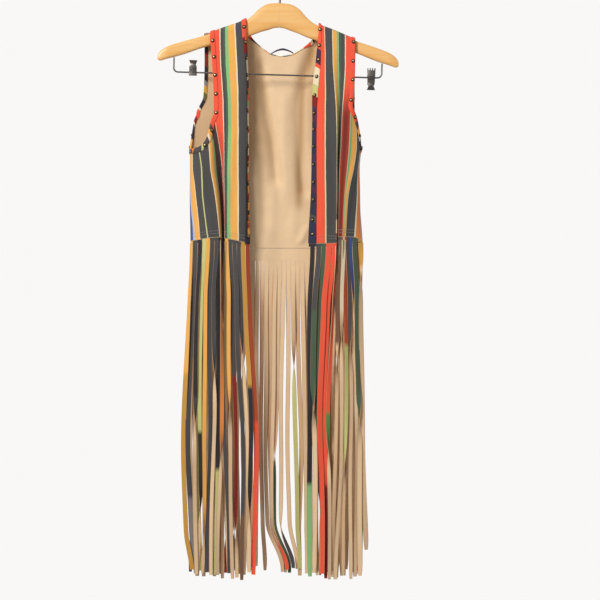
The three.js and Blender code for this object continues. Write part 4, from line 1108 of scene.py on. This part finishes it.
# Pinch clip: a bent strip each side of the bar, from the jaw at the foot to two prongs above, waisted
# below the body and flared to the jaw, with ribs across the body and a coil of spring round the bar.
def clip(name, place, lean, handle, node):
    foot, belly = -23.0, -14.3
    down = np.linspace(foot, handle, 90)
    gap = through([foot, belly, -4, 2, handle], [0.2, 4.4, 2.6, 2.6, 2.8], down)
    wide = through([foot, -18.5, -15.5, -11, -2, 2, handle], [7.5, 5.6, 4.4, 6.6, 6.9, 7.2, 7.5], down)
    ribs = 0.35 * np.sin(down * 2.6) * ease((down + 12) / 3) * ease((4 - down) / 3)
    across = np.linspace(-1, 1, 15)[:, None]
    body = slice(0, 15), down <= max(handle - 4, 5)
    prongs = [(slice(k, k + 3), down >= handle - 4) for k in (0, 4, 8, 12)] if handle > 10 else []
    points, faces, count = [], [], 0
    for facing in (-1, 1):
        cup = (gap - ribs) * facing - facing * 0.5 * across**2
        for side, rows in (body, *prongs):
            grids = [np.stack([across * wide, cup + facing * thick + 0 * across, down + 0 * across], -1)
                     for thick in (1.1, 0)]
            p, f, _ = closedSheet(*(grid[side][:, rows] for grid in grids))
            points, faces, count = [*points, p], [*faces, outwards(p, [f])[0] + count], count + len(p)
    coilRadius, coilWire = 2.1, 0.4
    turns = np.linspace(0, 5 * 2 * math.pi, 160)
    radial = np.stack([0 * turns, np.cos(turns), np.sin(turns)], -1)[:, None]
    a = np.linspace(0, 2 * math.pi, 6, endpoint=False)[None, :, None]
    middle = radial * coilRadius + (turns / turns[-1] * 9 - 4.5)[:, None, None] * np.array([1, 0, 0])
    coil, (sides, ends) = tube(middle + coilWire * (radial * np.cos(a) + np.array([1, 0, 0]) * np.sin(a)))
    points = np.concatenate([*points, coil])
    c, s = math.cos(lean), math.sin(lean)
    points = np.stack([points[:, 0], points[:, 1] * c - points[:, 2] * s,
                       points[:, 1] * s + points[:, 2] * c], -1)
    points = tilted(points + [place, barDepth, barLevel])
    groups = [np.concatenate([*faces, sides + count]), ends + count]
    return piece(name, points, groups, [steel], node, sharp=40)


clip("clipRight", -155, math.radians(172), 5.0, "clip_right")
clip("clipLeft", 171, math.radians(-6), 17.0, "clip_left")
print("hanger made")

# White studio: the sky is bright behind the vest and dimmer in front of it.
world = bpy.data.worlds.new("studio")
bpy.context.scene.world = world
world.use_nodes = True
sky = Tree(world.node_tree)
direction = sky.node("ShaderNodeTexCoord", output="Generated")
behind = sky.node("ShaderNodeSeparateXYZ", {}, {0: direction}, output=1)
amount = sky.node("ShaderNodeMapRange", {"interpolation_type": "SMOOTHSTEP"}, {0: behind, 1: -0.3, 2: 0.7})
glow = sky.blend(amount, (0.27, 0.27, 0.28, 1), (0.955, 0.937, 0.93, 1))
sky.feed(world.node_tree.nodes["Background"].inputs["Color"], glow)


# Round lamp turned towards its aim.
def softLight(name, place, aim, size, power, paint):
    lamp = bpy.data.lights.new(name, "AREA")
    lamp.shape, lamp.size, lamp.energy, lamp.color = "DISK", size, power, paint
    made = bpy.data.objects.new(name, lamp)
    made.location = place
    made.rotation_euler = (Vector(aim) - Vector(place)).to_track_quat("-Z", "Y").to_euler()
    bpy.context.scene.collection.objects.link(made)


softLight("key", (-1.5, -2.6, 0.9), (0, 0, -0.5), 1.2, 92, (1.0, 0.97, 0.93))
softLight("fill", (2.2, -2.6, -0.2), (0, 0, -0.6), 2.0, 10, (0.95, 0.97, 1.0))

camera = bpy.data.cameras.new("camera")
camera.lens, camera.sensor_width = 98.9, 36
view = bpy.data.objects.new("camera", camera)
view.location = (0.0346, -3.02, -0.622)
view.rotation_euler = (math.radians(90), 0, 0)
bpy.context.scene.collection.objects.link(view)
bpy.context.scene.camera = view
bpy.context.scene.view_settings.view_transform = "Standard"
